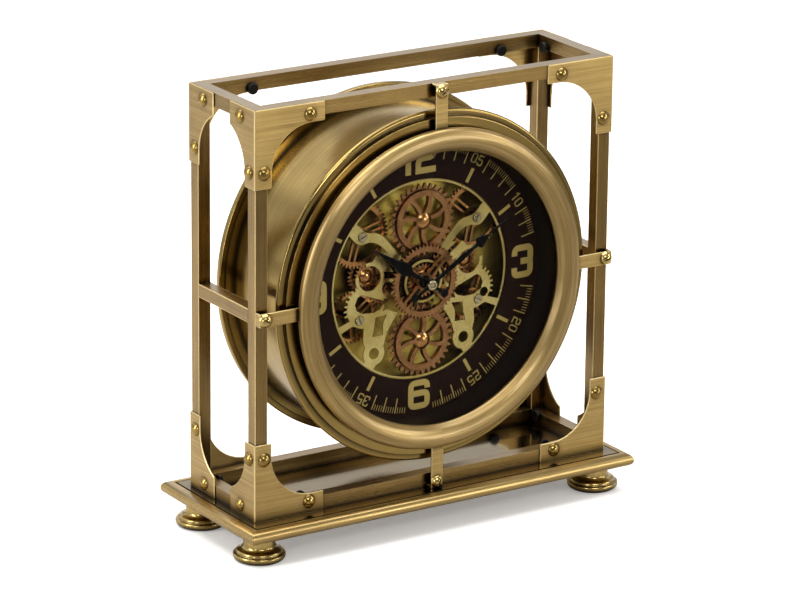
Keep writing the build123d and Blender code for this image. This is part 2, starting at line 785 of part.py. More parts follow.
with BuildPart() as one_nut:
    with BuildSketch():
        Circle(nut_radius)
    extrude(amount=nut_height)
    fillet(one_nut.edges().group_by(Axis.Z)[-1], nut_round)
    with BuildSketch():
        Circle(rivet_shank_radius)
    extrude(amount=nut_height - nut_cap, mode=Mode.SUBTRACT)

with BuildPart() as gusset_nuts:
    with Locations(*nut_spots):
        add(one_nut.part)
finish_piece(gusset_nuts.part, "gusset_nuts")

# Hanger strips at the four quarters, bent back at the frame's outer edge
strip_inner = neck_radius + face_gap
strip_back = bezel_back + strip_thickness
hanger_turns = (0.0, math.pi / 2, math.pi, 3 * math.pi / 2)


def strip_reach(turn):
    # The strips above and below end at the rails' edge, the side ones at the posts'
    return half_width if abs(math.cos(turn)) > 0.5 else frame_height / 2


with BuildPart() as hanger_strips:
    for turn in hanger_turns:
        reach = strip_reach(turn)
        with BuildSketch(dial_plane(strip_back, turn=turn)):
            with Locations(((strip_inner + reach) / 2, 0)):
                Rectangle(reach - strip_inner, strip_width)
            with Locations((reach - strip_screw_inset, 0)):
                Circle(strip_screw_shank, mode=Mode.SUBTRACT)
        extrude(amount=strip_thickness)
        with BuildSketch(dial_plane(-half_depth, turn=turn)):
            with Locations((reach - strip_thickness / 2, 0)):
                Rectangle(strip_thickness, strip_width)
        extrude(amount=-half_depth - strip_back)
finish_piece(hanger_strips.part, "hanger_strips")

with BuildPart() as hanger_spacers:
    for turn in hanger_turns:
        with BuildSketch(dial_plane(-half_depth, turn=turn)):
            with Locations((strip_reach(turn) - strip_screw_inset, 0)):
                Circle(spacer_radius)
                Circle(strip_screw_shank, mode=Mode.SUBTRACT)
        extrude(amount=-half_depth - strip_back)
finish_piece(hanger_spacers.part, "hanger_spacers")

strip_screw = build_dome(strip_screw_radius, strip_screw_dome, strip_screw_shank,
                         strip_thickness - half_depth - strip_back + tube_wall + rivet_tail)
with BuildPart() as hanger_screws:
    for turn, slot_turn in zip(hanger_turns, strip_slot_turns):
        centre = polar(centre_axis, strip_reach(turn) - strip_screw_inset, turn)
        with Locations(face_spot(centre[0], bezel_back, drum_height + centre[1], (0, -1, 0))):
            add(strip_screw)
        with BuildSketch(dial_plane(bezel_back - strip_screw_dome + strip_slot_depth, centre, slot_turn)):
            Rectangle(slot_reach * strip_screw_radius, strip_slot_width)
        extrude(amount=2 * strip_slot_depth, mode=Mode.SUBTRACT)
finish_piece(hanger_screws.part, "hanger_screws")

# Drum, turned about its own axis: radius along X and depth along Y in these sections
drum_section = Plane.XY.offset(drum_height)
drum_centre_line = Axis((0, 0, drum_height), (0, 1, 0))

with BuildPart() as bezel:
    with BuildSketch(drum_section):
        with BuildLine():
            Polyline((neck_clear_radius, bezel_back), (bezel_radius, bezel_back),
                     (bezel_radius, bezel_side_front))
            ThreePointArc((bezel_radius, bezel_side_front), (bezel_roll_radius, bezel_roll_depth),
                          (bezel_crest_radius, bezel_crest_depth))
            ThreePointArc((bezel_crest_radius, bezel_crest_depth), (bezel_slope_radius, bezel_slope_depth),
                          (bezel_lip_radius, bezel_lip_depth))
            Polyline((bezel_lip_radius, bezel_lip_depth), (bezel_lip_radius, glass_front),
                     (glass_radius + face_gap, glass_front), (glass_radius + face_gap, glass_back),
                     (neck_clear_radius, glass_back), (neck_clear_radius, bezel_back))
        make_face()
    revolve(axis=drum_centre_line)
finish_piece(bezel.part, "bezel")

with BuildPart() as glass:
    with BuildSketch(dial_plane(glass_back)):
        Circle(glass_radius)
    extrude(amount=glass_thickness)
finish_piece(glass.part, "glass")

with BuildPart() as rehaut:
    with BuildSketch(drum_section):
        with BuildLine():
            Polyline((rehaut_radius, glass_back), (neck_clear_radius, glass_back),
                     (neck_clear_radius, glass_back + rehaut_flange),
                     (dial_radius, glass_back + rehaut_flange), (dial_radius, dial_front),
                     (rehaut_radius, dial_front), close=True)
        make_face()
    revolve(axis=drum_centre_line)
finish_piece(rehaut.part, "rehaut")

with BuildPart() as drum_case:
    with BuildSketch(drum_section):
        with BuildLine():
            Polyline((neck_bore, bezel_back), (neck_radius, bezel_back), (neck_radius, step_ring_front),
                     (step_ring_radius, step_ring_front), (step_ring_radius, bead_front),
                     (bead_shoulder_radius, bead_front))
            ThreePointArc((bead_shoulder_radius, bead_front), (bead_radius, (bead_front + bead_back) / 2),
                          (bead_shoulder_radius, bead_back))
            Polyline((bead_shoulder_radius, bead_back), (barrel_radius, bead_back),
                     (barrel_radius, flange_front), (flange_lip_radius, flange_front),
                     (flange_lip_radius, flange_front + flange_step),
                     (flange_radius, flange_front + flange_step), (flange_radius, flange_back),
                     (cover_radius + face_gap, flange_back), (cover_radius + face_gap, cover_seat),
                     (cover_seat_radius, cover_seat), (cover_seat_radius, cover_seat - cover_seat_thickness),
                     (barrel_bore, cover_seat - cover_seat_thickness),
                     (barrel_bore, back_plate_back + plate_shelf_thickness),
                     (plate_shelf_radius, back_plate_back + plate_shelf_thickness),
                     (plate_shelf_radius, back_plate_back), (barrel_bore, back_plate_back),
                     (barrel_bore, neck_back), (neck_bore, neck_back), (neck_bore, bezel_back))
        make_face()
    revolve(axis=drum_centre_line)
    with BuildSketch(dial_plane(cover_seat)):
        with PolarLocations(cover_screw_circle, cover_screw_count, start_angle=cover_screw_start):
            Circle(cover_screw_radius + running_gap)
    extrude(amount=cover_seat_thickness, mode=Mode.SUBTRACT)
finish_piece(drum_case.part, "drum_case")

# Rear cover with the battery opening, the set knob's hole and the switch slot
battery_bay_x = battery_length + 2 * battery_end_room
battery_bay_z = 4 * battery_radius + 3 * face_gap
knob_axis = (knob_offset_x, knob_offset_z)
switch_slot_x = switch_width + switch_travel + 2 * face_gap
switch_slot_z = switch_height + 2 * face_gap
with BuildPart() as rear_cover:
    with BuildSketch(dial_plane(cover_back)):
        Circle(cover_radius)
        with PolarLocations(cover_screw_circle, cover_screw_count, start_angle=cover_screw_start):
            Circle(cover_screw_radius + running_gap, mode=Mode.SUBTRACT)
        with Locations((0, battery_offset_z)):
            Rectangle(battery_bay_x, battery_bay_z, mode=Mode.SUBTRACT)
        with Locations(knob_axis):
            Circle(knob_stem_radius + face_gap, mode=Mode.SUBTRACT)
        with Locations((switch_offset_x, 0)):
            Rectangle(switch_slot_x, switch_slot_z, mode=Mode.SUBTRACT)
    extrude(amount=cover_thickness)
finish_piece(rear_cover.part, "rear_cover")

cover_screw = build_dome(cover_screw_head_radius, cover_screw_head_height, cover_screw_radius,
                         cover_thickness + cover_seat_thickness - face_gap)
with BuildPart() as cover_screws:
    for index in range(cover_screw_count):
        turn = math.radians(cover_screw_start) + 2 * math.pi * index / cover_screw_count
        centre = polar((0, 0), cover_screw_circle, turn)
        with Locations(face_spot(centre[0], cover_back, drum_height + centre[1], (0, 1, 0))):
            add(cover_screw)
finish_piece(cover_screws.part, "cover_screws")

# Dial ring with a skirt that stands on the back plate
with BuildPart() as dial_ring:
    with BuildSketch(drum_section):
        with BuildLine():
            Polyline((dial_window_radius, dial_front), (dial_radius, dial_front),
                     (dial_radius, back_plate_front), (dial_radius - dial_skirt_wall, back_plate_front),
                     (dial_radius - dial_skirt_wall, dial_back), (dial_window_radius, dial_back), close=True)
        make_face()
    revolve(axis=drum_centre_line)
finish_piece(dial_ring.part, "dial_ring")

with BuildPart() as back_plate:
    with BuildSketch(dial_plane(back_plate_back)):
        Circle(back_plate_radius)
        Circle(bush_radius + running_gap, mode=Mode.SUBTRACT)
        with Locations(motor_axis):
            Circle(post_bore, mode=Mode.SUBTRACT)
    extrude(amount=back_plate_thickness)
finish_piece(back_plate.part, "back_plate")

# Fixed posts that carry the gears, and screws that hold the skeleton plate on four of them
plate_posts = (upper_left_axis, upper_right_axis, lower_left_axis, lower_right_axis)
satellite_post_front = drive_front - satellite_rise
idler_post_front = layer_b_front - post_tip
relay_post_front = layer_a_front - post_tip
with BuildPart() as gear_posts:
    for centre in plate_posts:
        with BuildSketch(dial_plane(back_plate_front, centre)):
            Circle(post_radius)
        extrude(amount=back_plate_front - skeleton_back)
        with BuildSketch(dial_plane(skeleton_back + plate_screw_length - skeleton_thickness, centre)):
            Circle(plate_screw_shank)
        extrude(amount=plate_screw_length, mode=Mode.SUBTRACT)
    for centre, front in ((top_axis, satellite_post_front), (bottom_axis, satellite_post_front),
                          (idler_left_axis, idler_post_front), (idler_right_axis, idler_post_front),
                          (relay_left_axis, relay_post_front), (relay_right_axis, relay_post_front)):
        with BuildSketch(dial_plane(back_plate_front, centre)):
            Circle(post_radius)
        extrude(amount=back_plate_front - front)
finish_piece(gear_posts.part, "gear_posts")

with BuildPart() as plate_screws:
    for centre, slot_turn in zip(plate_posts, plate_slot_turns):
        with BuildSketch(dial_plane(dial_back, centre)):
            Circle(plate_screw_head_radius)
        extrude(amount=plate_screw_head_height)
        with BuildSketch(dial_plane(dial_back + plate_screw_length - face_gap, centre)):
            Circle(plate_screw_shank)
        extrude(amount=plate_screw_length - face_gap)
        with BuildSketch(dial_plane(dial_back - plate_screw_head_height / 2, centre, slot_turn)):
            Rectangle(slot_reach * plate_screw_head_radius, plate_screw_slot)
        extrude(amount=plate_screw_head_height, mode=Mode.SUBTRACT)
finish_piece(plate_screws.part, "plate_screws")


def sector_points(centre, radius, start, end):
    # Wedge from a centre between two angles, wider than the ring it cuts
    middle = (start + end) / 2
    return [centre, polar(centre, radius, start), polar(centre, radius, middle), polar(centre, radius, end)]


def plate_tooth(centre, turn):
    # One tooth of the plate's fixed toothed sector
    half_root = plate_tooth_pitch * plate_tooth_root_share
    half_tip = plate_tooth_pitch * plate_tooth_tip_share
    root = plate_disc_radius - plate_tooth_sink
    return [polar(centre, root, turn - half_root), polar(centre, plate_tooth_tip, turn - half_tip),
            polar(centre, plate_tooth_tip, turn + half_tip), polar(centre, root, turn + half_root)]


# Skeleton plate, drawn on its left half and mirrored
with BuildPart() as skeleton_plate:
    with BuildSketch(dial_plane(skeleton_back)):
        Circle(skeleton_ring_outer)
        Circle(skeleton_ring_inner, mode=Mode.SUBTRACT)
        with BuildLine():
            Spline(*arm_top_edge)
            Line(arm_top_edge[-1], hook_edge[0])
            Spline(*hook_edge)
            Line(hook_edge[-1], arm_bottom_edge[0])
            Spline(*arm_bottom_edge)
            Line(arm_bottom_edge[-1], arm_top_edge[0])
        make_face()
        with BuildLine():
            Polyline(*prong_outline, close=True)
        make_face()
        with Locations(plate_disc_centre):
            Circle(plate_disc_radius)
        for index in range(plate_tooth_count):
            with BuildLine():
                Polyline(*plate_tooth(plate_disc_centre, plate_tooth_start + index * plate_tooth_pitch),
                         close=True)
            make_face()
        with BuildLine():
            Polyline(*leg_left_edge)
            Line(leg_left_edge[-1], leg_arc_end)
            ThreePointArc(leg_arc_end, leg_arc_middle, leg_arc_start)
        make_face()
        with BuildLine():
            Polyline(*side_arm_outline, close=True)
        make_face()
        with BuildLine():
            Polyline(*pad_arm_outline, close=True)
        make_face()
        with Locations(pad_centre):
            Circle(pad_radius)
            Circle(pad_hole_radius, mode=Mode.SUBTRACT)
        with Locations(lower_left_axis):
            Circle(boss_radius)
        with BuildLine():
            Polyline(*disc_opening, close=True)
        make_face(mode=Mode.SUBTRACT)
        with BuildLine():
            Polyline(*leg_opening, close=True)
        make_face(mode=Mode.SUBTRACT)
        with Locations(relay_left_axis):
            Circle(relay_ring_outer)
            Circle(relay_ring_inner, mode=Mode.SUBTRACT)
        with BuildLine():
            Polyline(*sector_points(relay_left_axis, relay_ring_cut, *relay_ring_gap), close=True)
        make_face(mode=Mode.SUBTRACT)
        with Locations(idler_left_axis):
            Circle(idler_ring_outer)
            Circle(idler_ring_inner, mode=Mode.SUBTRACT)
        mirror(about=Plane.YZ)
        with Locations(plate_hole_centre):
            Circle(plate_hole_radius, mode=Mode.SUBTRACT)
        with Locations(*plate_posts):
            Circle(plate_screw_shank, mode=Mode.SUBTRACT)
    extrude(amount=skeleton_thickness)
finish_piece(skeleton_plate.part, "skeleton_plate")


def involute(angle):
    return math.tan(angle) - angle


def gear_points(teeth, module, phase):
    # Outline of a spur gear: each flank runs through the root, the pitch circle and the tip
    pitch = module * teeth / 2
    base = pitch * math.cos(pressure_angle)
    half_tooth = (math.pi * module / 2 - tooth_backlash * module) / (2 * pitch)
    radii = (pitch - dedendum * module, pitch, pitch + addendum * module)
    halves = []
    for radius in radii:
        contact = math.acos(min(1, base / radius))
        halves.append(half_tooth + involute(pressure_angle) - involute(contact))
    points = []
    for index in range(teeth):
        middle = phase + index * 2 * math.pi / teeth
        for radius, half in zip(radii, halves):
            points.append((radius * math.cos(middle - half), radius * math.sin(middle - half)))
        for radius, half in zip(reversed(radii), reversed(halves)):
            points.append((radius * math.cos(middle + half), radius * math.sin(middle + half)))
    return points


def bowed_spoke(angle, inner, outer, width, sweep):
    # Spoke with its rim end at an angle and its hub end turned back by the sweep, bowed between them
    turns = (angle - sweep, angle - (1 - spoke_bow_share) * sweep, angle)
    radii = (inner, (inner + outer) / 2, outer)
    spots = [(radius * math.cos(turn), radius * math.sin(turn)) for radius, turn in zip(radii, turns)]
    headings = [math.atan2(spots[last][1] - spots[first][1], spots[last][0] - spots[first][0])
                for first, last in ((0, 1), (0, 2), (1, 2))]
    left, right = [[(spot[0] - reach * math.sin(heading), spot[1] + reach * math.cos(heading))
                    for spot, heading in zip(spots, headings)] for reach in (width / 2, -width / 2)]
    with BuildSketch() as spoke:
        with BuildLine():
            ThreePointArc(*left)
            Line(left[2], right[2])
            ThreePointArc(*reversed(right))
            Line(right[0], left[0])
        make_face()
    return spoke.sketch


def spoke_sketch_parts(spokes, inner, outer):
    # Rails from hub to rim: each spoke is an angle, its rails' offsets, their width and their sweep
    for angle, offsets, width, sweep in spokes:
        if sweep > 0:
            add(bowed_spoke(angle, inner, outer, width, sweep))
            continue
        for offset in offsets:
            middle = (inner + outer) / 2
            place = (middle * math.cos(angle) - offset * math.sin(angle),
                     middle * math.sin(angle) + offset * math.cos(angle))
            with Locations(place):
                Rectangle(outer - inner, width, rotation=math.degrees(angle))


def wheel_sketch(depth, centre, teeth, module, phase, bore, rim_inner=0, hub=0, spokes=()):
    # Toothed wheel, solid or with a rim, spokes and a hub
    with BuildSketch(dial_plane(depth, centre)) as wheel:
        with BuildLine():
            Polyline(*gear_points(teeth, module, phase), close=True)
        make_face()
        if rim_inner > 0:
            Circle(rim_inner, mode=Mode.SUBTRACT)
            Circle(hub)
            spoke_sketch_parts(spokes, hub - rim_overlap, rim_inner + rim_overlap)
        if bore > 0:
            Circle(bore, mode=Mode.SUBTRACT)
    return wheel.sketch


def ring_sketch(depth, centre, outer, inner, hub=0, spokes=(), bore=0):
    # Plain ring, with spokes and a hub where given
    with BuildSketch(dial_plane(depth, centre)) as ring:
        Circle(outer)
        if inner > 0:
            Circle(inner, mode=Mode.SUBTRACT)
        if hub > 0:
            Circle(hub)
            spoke_sketch_parts(spokes, hub - rim_overlap, inner + rim_overlap)
        if bore > 0:
            Circle(bore, mode=Mode.SUBTRACT)
    return ring.sketch


def even_spokes(first_degrees, count, offsets, width, sweep=0.0):
    return [(math.radians(first_degrees) + 2 * math.pi * index / count, offsets, width, math.radians(sweep))
            for index in range(count)]


rail_offset = (rail_gap + rail_width) / 2
double_rail = (-rail_offset, rail_offset)

# Gears on the clock's centre: they turn together on the movement's long bush
sleeve_bore = bush_radius + running_gap
sleeve_back = layer_c_front + gear_thickness
sleeve_front = ring_gear_front - sleeve_stand
with BuildPart() as centre_drive_gear:
    extrude(ring_sketch(sleeve_back, centre_axis, sleeve_radius, sleeve_bore),
            amount=sleeve_back - sleeve_front)
    extrude(wheel_sketch(drive_front + drive_thickness, centre_axis, drive_teeth, drive_module, drive_phase,
                         sleeve_bore), amount=drive_thickness)
    extrude(wheel_sketch(sleeve_back, centre_axis, rear_wheel_teeth, train_module, rear_wheel_phase,
                         sleeve_bore), amount=gear_thickness)
finish_piece(centre_drive_gear.part, "centre_drive_gear")

centre_hub = build_dome(centre_hub_radius, centre_hub_rise, centre_hub_radius, centre_pinion_thickness)
with BuildPart() as centre_pinion:
    extrude(wheel_sketch(centre_pinion_front + centre_pinion_thickness, centre_axis, centre_pinion_teeth,
                         train_module, 0, sleeve_radius), amount=centre_pinion_thickness)
    with Locations(face_spot(0, centre_pinion_front, drum_height, (0, -1, 0))):
        add(centre_hub)
    with BuildSketch(dial_plane(drive_front)):
        Circle(sleeve_radius)
    extrude(amount=2 * (drive_front - ring_gear_front), mode=Mode.SUBTRACT)
finish_piece(centre_pinion.part, "centre_pinion")

ring_gear_back = ring_gear_front + gear_thickness
ring_gear_spokes = (even_spokes(ring_gear_rail_turn, 2, double_rail, rail_width)
                    + even_spokes(ring_gear_bar_turn, 2, (0,), rail_width))
with BuildPart() as centre_ring_gear:
    extrude(wheel_sketch(ring_gear_back, centre_axis, ring_gear_teeth, train_module, 0, sleeve_radius,
                         ring_gear_rim, ring_gear_hub, ring_gear_spokes), amount=gear_thickness)
finish_piece(centre_ring_gear.part, "centre_ring_gear")

with BuildPart() as centre_arc_ring:
    extrude(ring_sketch(ring_gear_back + arc_ring_thickness, centre_axis, arc_ring_outer, arc_ring_inner),
            amount=arc_ring_thickness)
finish_piece(centre_arc_ring.part, "centre_arc_ring")

satellite_hub = build_dome(satellite_hub_radius, satellite_hub_rise, satellite_hub_radius,
                           drive_thickness + satellite_rise)


def build_satellite(centre, phase, first_spoke, name):
    # Upper or lower driven gear: toothed layer, raised ring with seven spokes, domed hub
    spokes = even_spokes(first_spoke, satellite_spoke_count, (0,), satellite_spoke_width,
                         satellite_spoke_sweep)
    raised_front = drive_front - satellite_rise
    with BuildPart() as gear:
        extrude(wheel_sketch(drive_front + drive_thickness, centre, satellite_teeth, drive_module, phase,
                             post_bore, satellite_ring_inner, satellite_hub_radius, spokes),
                amount=drive_thickness)
        extrude(ring_sketch(drive_front, centre, satellite_ring_outer, satellite_ring_inner,
                            satellite_hub_radius, spokes), amount=satellite_rise)
        with Locations(face_spot(centre[0], raised_front, drum_height + centre[1], (0, -1, 0))):
            add(satellite_hub)
        with BuildSketch(dial_plane(back_plate_front, centre)):
            Circle(post_bore)
        extrude(amount=back_plate_front - raised_front + post_end_gap, mode=Mode.SUBTRACT)
    finish_piece(gear.part, name)


build_satellite(top_axis, top_phase, top_spoke_turn, "top_gear")
build_satellite(bottom_axis, bottom_phase, bottom_spoke_turn, "bottom_gear")

idler_cap = build_dome(idler_cap_radius, idler_cap_rise, idler_cap_radius, gear_thickness)
relay_cap = build_dome(relay_cap_radius, relay_cap_rise, relay_cap_radius, gear_thickness)


def build_stepped_gear(centre, wheel, pinion, cap, post_front, name):
    # Wheel with a pinion in front of it, a sleeve between and a domed cap over the post;
    # wheel and pinion are given as front depth, teeth and phase
    with BuildPart() as gear:
        extrude(wheel_sketch(wheel[0] + gear_thickness, centre, wheel[1], train_module, wheel[2],
                             post_bore), amount=gear_thickness)
        extrude(wheel_sketch(pinion[0] + gear_thickness, centre, pinion[1], train_module, pinion[2],
                             post_bore), amount=gear_thickness)
        extrude(ring_sketch(wheel[0], centre, step_sleeve_radius, post_bore),
                amount=wheel[0] - pinion[0] - gear_thickness)
        with Locations(face_spot(centre[0], pinion[0], drum_height + centre[1], (0, -1, 0))):
            add(cap)
        with BuildSketch(dial_plane(back_plate_front, centre)):
            Circle(post_bore)
        extrude(amount=back_plate_front - post_front + post_end_gap, mode=Mode.SUBTRACT)
    finish_piece(gear.part, name)


def build_open_wheel(centre, front, teeth, phase, rim_inner, first_spoke, name):
    # Large wheel with three double-rail spokes on a through post
    spokes = even_spokes(first_spoke, open_spoke_count, double_rail, rail_width)
    with BuildPart() as gear:
        extrude(wheel_sketch(front + gear_thickness, centre, teeth, train_module, phase, post_bore,
                             rim_inner, wheel_hub_radius, spokes), amount=gear_thickness)
        extrude(ring_sketch(front, centre, wheel_hub_radius, post_bore), amount=wheel_hub_rise)
    finish_piece(gear.part, name)


stepped_sides = (("left", left_phases, idler_left_axis, relay_left_axis),
                 ("right", right_phases, idler_right_axis, relay_right_axis))
for side_name, phases, idler_axis, relay_axis in stepped_sides:
    build_stepped_gear(idler_axis, (layer_c_front, idler_teeth, phases[0]),
                       (layer_b_front, idler_pinion_teeth, phases[0]), idler_cap, idler_post_front,
                       f"idler_gear_{side_name}")
    build_stepped_gear(relay_axis, (layer_b_front, relay_teeth, phases[1]),
                       (layer_a_front, relay_pinion_teeth, phases[1]), relay_cap, relay_post_front,
                       f"relay_gear_{side_name}")

build_open_wheel(upper_left_axis, layer_a_front, upper_teeth, left_phases[2], upper_rim,
                 upper_left_spoke_turn, "upper_gear_left")
build_open_wheel(upper_right_axis, layer_a_front, upper_teeth, right_phases[2], upper_rim,
                 upper_right_spoke_turn, "upper_gear_right")
build_open_wheel(lower_left_axis, layer_b_front, lower_teeth, left_phases[3], lower_rim,
                 lower_left_spoke_turn, "lower_gear_left")
build_open_wheel(lower_right_axis, layer_b_front, lower_teeth, right_phases[3], lower_rim,
                 lower_right_spoke_turn, "lower_gear_right")

# Small motor behind the plate, its pinion on its own shaft
with BuildPart() as motor_pinion:
    extrude(wheel_sketch(layer_b_front + gear_thickness, motor_axis, motor_teeth, train_module,
                         motor_phase, 0), amount=gear_thickness)
    with BuildSketch(dial_plane(motor_shaft_back, motor_axis)):
        Circle(post_radius)
    extrude(amount=motor_shaft_back - layer_b_front - gear_thickness)
finish_piece(motor_pinion.part, "motor_pinion")

with BuildPart() as gear_motor:
    with BuildSketch(dial_plane(back_plate_back + motor_length, motor_axis)):
        Circle(motor_radius)
    extrude(amount=motor_length)
    with BuildSketch(dial_plane(motor_shaft_back + face_gap, motor_axis)):
        Circle(post_bore)
    extrude(amount=motor_shaft_back + face_gap - back_plate_back, mode=Mode.SUBTRACT)
finish_piece(gear_motor.part, "gear_motor")

# Movement: a box behind the plate, its long bush carries the centre gears
with BuildPart() as movement:
    with BuildSketch(dial_plane(back_plate_back + movement_depth)):
        RectangleRounded(movement_side, movement_side, movement_corner)
    extrude(amount=movement_depth)
    with BuildSketch(dial_plane(back_plate_back)):
        Circle(bush_radius)
    extrude(amount=back_plate_back - bush_front)
    with BuildSketch(dial_plane(pipe_back + face_gap)):
        Circle(pipe_radius + running_gap)
    extrude(amount=pipe_back + face_gap - bush_front, mode=Mode.SUBTRACT)
    with BuildSketch(dial_plane(shaft_back + face_gap)):
        Circle(shaft_radius + running_gap)
    extrude(amount=shaft_back - pipe_back, mode=Mode.SUBTRACT)
    with BuildSketch(dial_plane(back_plate_back + movement_depth, knob_axis)):
        Circle(knob_stem_radius + running_gap)
    extrude(amount=back_plate_back + movement_depth - knob_stem_front + face_gap, mode=Mode.SUBTRACT)
finish_piece(movement.part, "movement")

with BuildPart() as hour_pipe:
    extrude(ring_sketch(pipe_back, centre_axis, pipe_radius, shaft_radius + running_gap),
            amount=pipe_back - hour_hand_front)
finish_piece(hour_pipe.part, "hour_pipe")

with BuildPart() as minute_shaft:
    with BuildSketch(dial_plane(shaft_back)):
        Circle(shaft_radius)
    extrude(amount=shaft_back - minute_hand_front)
finish_piece(minute_shaft.part, "minute_shaft")


def hand_sketch(depth, turn, stem, blade, tip, bore):
    # A hand: stem and blade edges as distance along the hand and half width
    with BuildSketch(dial_plane(depth, turn=turn)) as hand:
        with BuildLine():
            Polyline((0, stem[0][1]), *stem)
            Spline(*blade)
            Polyline(blade[-1], tip, (tip[0], -tip[1]), (blade[-1][0], -blade[-1][1]))
            Spline(*[(along, -half) for along, half in reversed(blade)])
            Polyline(*[(along, -half) for along, half in reversed(stem)], (0, -stem[0][1]))
            Line((0, -stem[0][1]), (0, stem[0][1]))
        make_face()
        Circle(hand_hub_radius)
        with Locations((-hand_tail / 2, 0)):
            Rectangle(hand_tail, hand_tail_width)
        with Locations((-hand_tail, 0)):
            Circle(hand_blob_radius)
        Circle(bore, mode=Mode.SUBTRACT)
    return hand.sketch


with BuildPart() as hour_hand:
    extrude(hand_sketch(hour_hand_front + hand_thickness, hour_hand_angle, hour_stem, hour_blade,
                        hour_tip, pipe_radius), amount=hand_thickness)
finish_piece(hour_hand.part, "hour_hand")

with BuildPart() as minute_hand:
    extrude(hand_sketch(minute_hand_front + hand_thickness, minute_hand_angle, minute_stem, minute_blade,
                        minute_tip, shaft_radius), amount=hand_thickness)
finish_piece(minute_hand.part, "minute_hand")

with BuildPart() as hand_cap:
    extrude(ring_sketch(minute_hand_front, centre_axis, cap_radius, 0.0), amount=cap_height)
    fillet(hand_cap.edges().group_by(Axis.Y)[0], cap_round)
    with BuildSketch(dial_plane(minute_hand_front - cap_height + cap_recess_depth)):
        Circle(cap_recess_radius)
    extrude(amount=cap_recess_depth, mode=Mode.SUBTRACT)
finish_piece(hand_cap.part, "hand_cap")

# Set knob on a long stem through the rear cover, with a fluted edge
with BuildPart() as set_knob:
    with BuildSketch(dial_plane(cover_back + face_gap, knob_axis)):
        Circle(knob_stem_radius)
    extrude(amount=cover_back + face_gap - knob_stem_front)
    with BuildSketch(dial_plane(cover_back + face_gap + knob_height, knob_axis)):
        Circle(knob_radius)
        with PolarLocations(knob_radius, knob_flute_count):
            Circle(knob_flute_radius, mode=Mode.SUBTRACT)
    extrude(amount=knob_height)
finish_piece(set_knob.part, "set_knob")

# Battery box on the rear cover's inner face, two cells and the lift-off cover
battery_floor = cover_seat - battery_depth
battery_middle = (0, battery_offset_z)
with BuildPart() as battery_box:
    with BuildSketch(dial_plane(cover_seat, battery_middle)):
        Rectangle(battery_bay_x + 2 * battery_box_wall, battery_bay_z + 2 * battery_box_wall)
    extrude(amount=battery_depth)
    with BuildSketch(dial_plane(cover_seat, battery_middle)):
        Rectangle(battery_bay_x, battery_bay_z)
    extrude(amount=battery_depth - battery_box_wall, mode=Mode.SUBTRACT)
finish_piece(battery_box.part, "battery_box")

battery_y = battery_floor + battery_box_wall + battery_radius
with BuildPart() as batteries:
    for row in (-1, 1):
        row_z = drum_height + battery_offset_z + row * (battery_radius + face_gap / 2)
        with BuildSketch(Plane.YZ.offset(-battery_length / 2)):
            with Locations((battery_y, row_z)):
                Circle(battery_radius)
        extrude(amount=battery_length - battery_tip_length)
        with BuildSketch(Plane.YZ.offset(battery_length / 2 - battery_tip_length)):
            with Locations((battery_y, row_z)):
                Circle(battery_tip_radius)
        extrude(amount=battery_tip_length)
finish_piece(batteries.part, "batteries")

with BuildPart() as battery_cover:
    with BuildSketch(dial_plane(cover_back + battery_cover_thickness, battery_middle)):
        RectangleRounded(battery_bay_x + 2 * battery_cover_rim, battery_bay_z + 2 * battery_cover_rim,
                         battery_cover_corner)
    extrude(amount=battery_cover_thickness)
    with BuildSketch(dial_plane(cover_back, battery_middle)):
        Rectangle(battery_bay_x - 2 * face_gap, battery_bay_z - 2 * face_gap)
        Rectangle(battery_bay_x - 2 * face_gap - 2 * battery_cover_lip,
                  battery_bay_z - 2 * face_gap - 2 * battery_cover_lip, mode=Mode.SUBTRACT)
    extrude(amount=battery_cover_lip)
finish_piece(battery_cover.part, "battery_cover")

# Switch: a tab in the cover's slot with a flange behind the cover
switch_place = (switch_offset_x - switch_travel / 2, 0)
with BuildPart() as power_switch:
    with BuildSketch(dial_plane(cover_back + switch_tab, switch_place)):
        Rectangle(switch_width, switch_height)
    extrude(amount=cover_thickness + switch_tab + face_gap)
    with BuildSketch(dial_plane(cover_seat - face_gap, switch_place)):
        Rectangle(switch_width + 2 * switch_flange, switch_height + 2 * switch_flange)
    extrude(amount=switch_flange_thickness)
finish_piece(power_switch.part, "power_switch")
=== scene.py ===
import json
import math

import bmesh
import bpy
from mathutils import Matrix, Vector
from mathutils.geometry import interpolate_bezier


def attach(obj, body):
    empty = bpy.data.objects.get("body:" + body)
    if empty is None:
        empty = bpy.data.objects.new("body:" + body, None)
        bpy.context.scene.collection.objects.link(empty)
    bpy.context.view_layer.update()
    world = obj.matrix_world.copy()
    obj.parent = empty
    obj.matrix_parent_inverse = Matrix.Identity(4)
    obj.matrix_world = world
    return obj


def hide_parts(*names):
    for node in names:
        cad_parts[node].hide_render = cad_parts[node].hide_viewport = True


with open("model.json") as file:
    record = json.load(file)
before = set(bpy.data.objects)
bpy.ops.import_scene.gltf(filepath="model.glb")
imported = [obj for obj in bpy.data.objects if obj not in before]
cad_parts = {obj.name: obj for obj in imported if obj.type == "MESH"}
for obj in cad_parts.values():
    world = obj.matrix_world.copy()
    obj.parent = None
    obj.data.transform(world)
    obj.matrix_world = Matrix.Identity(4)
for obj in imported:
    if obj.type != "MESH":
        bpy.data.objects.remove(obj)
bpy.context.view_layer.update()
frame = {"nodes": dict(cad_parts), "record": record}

mm = 0.001
dialCentre = Vector((0.0, 0.0, 0.179))  # the drum's axis runs through it along Y
bodyOfNode = {node: body for body, nodes in frame["record"]["behaviour"]["bodies"].items() for node in nodes}
slotOfNode = {part["node"]: part["material_slot"] for part in frame["record"]["subparts"]}
print("frame loaded:", len(frame["nodes"]), "nodes")


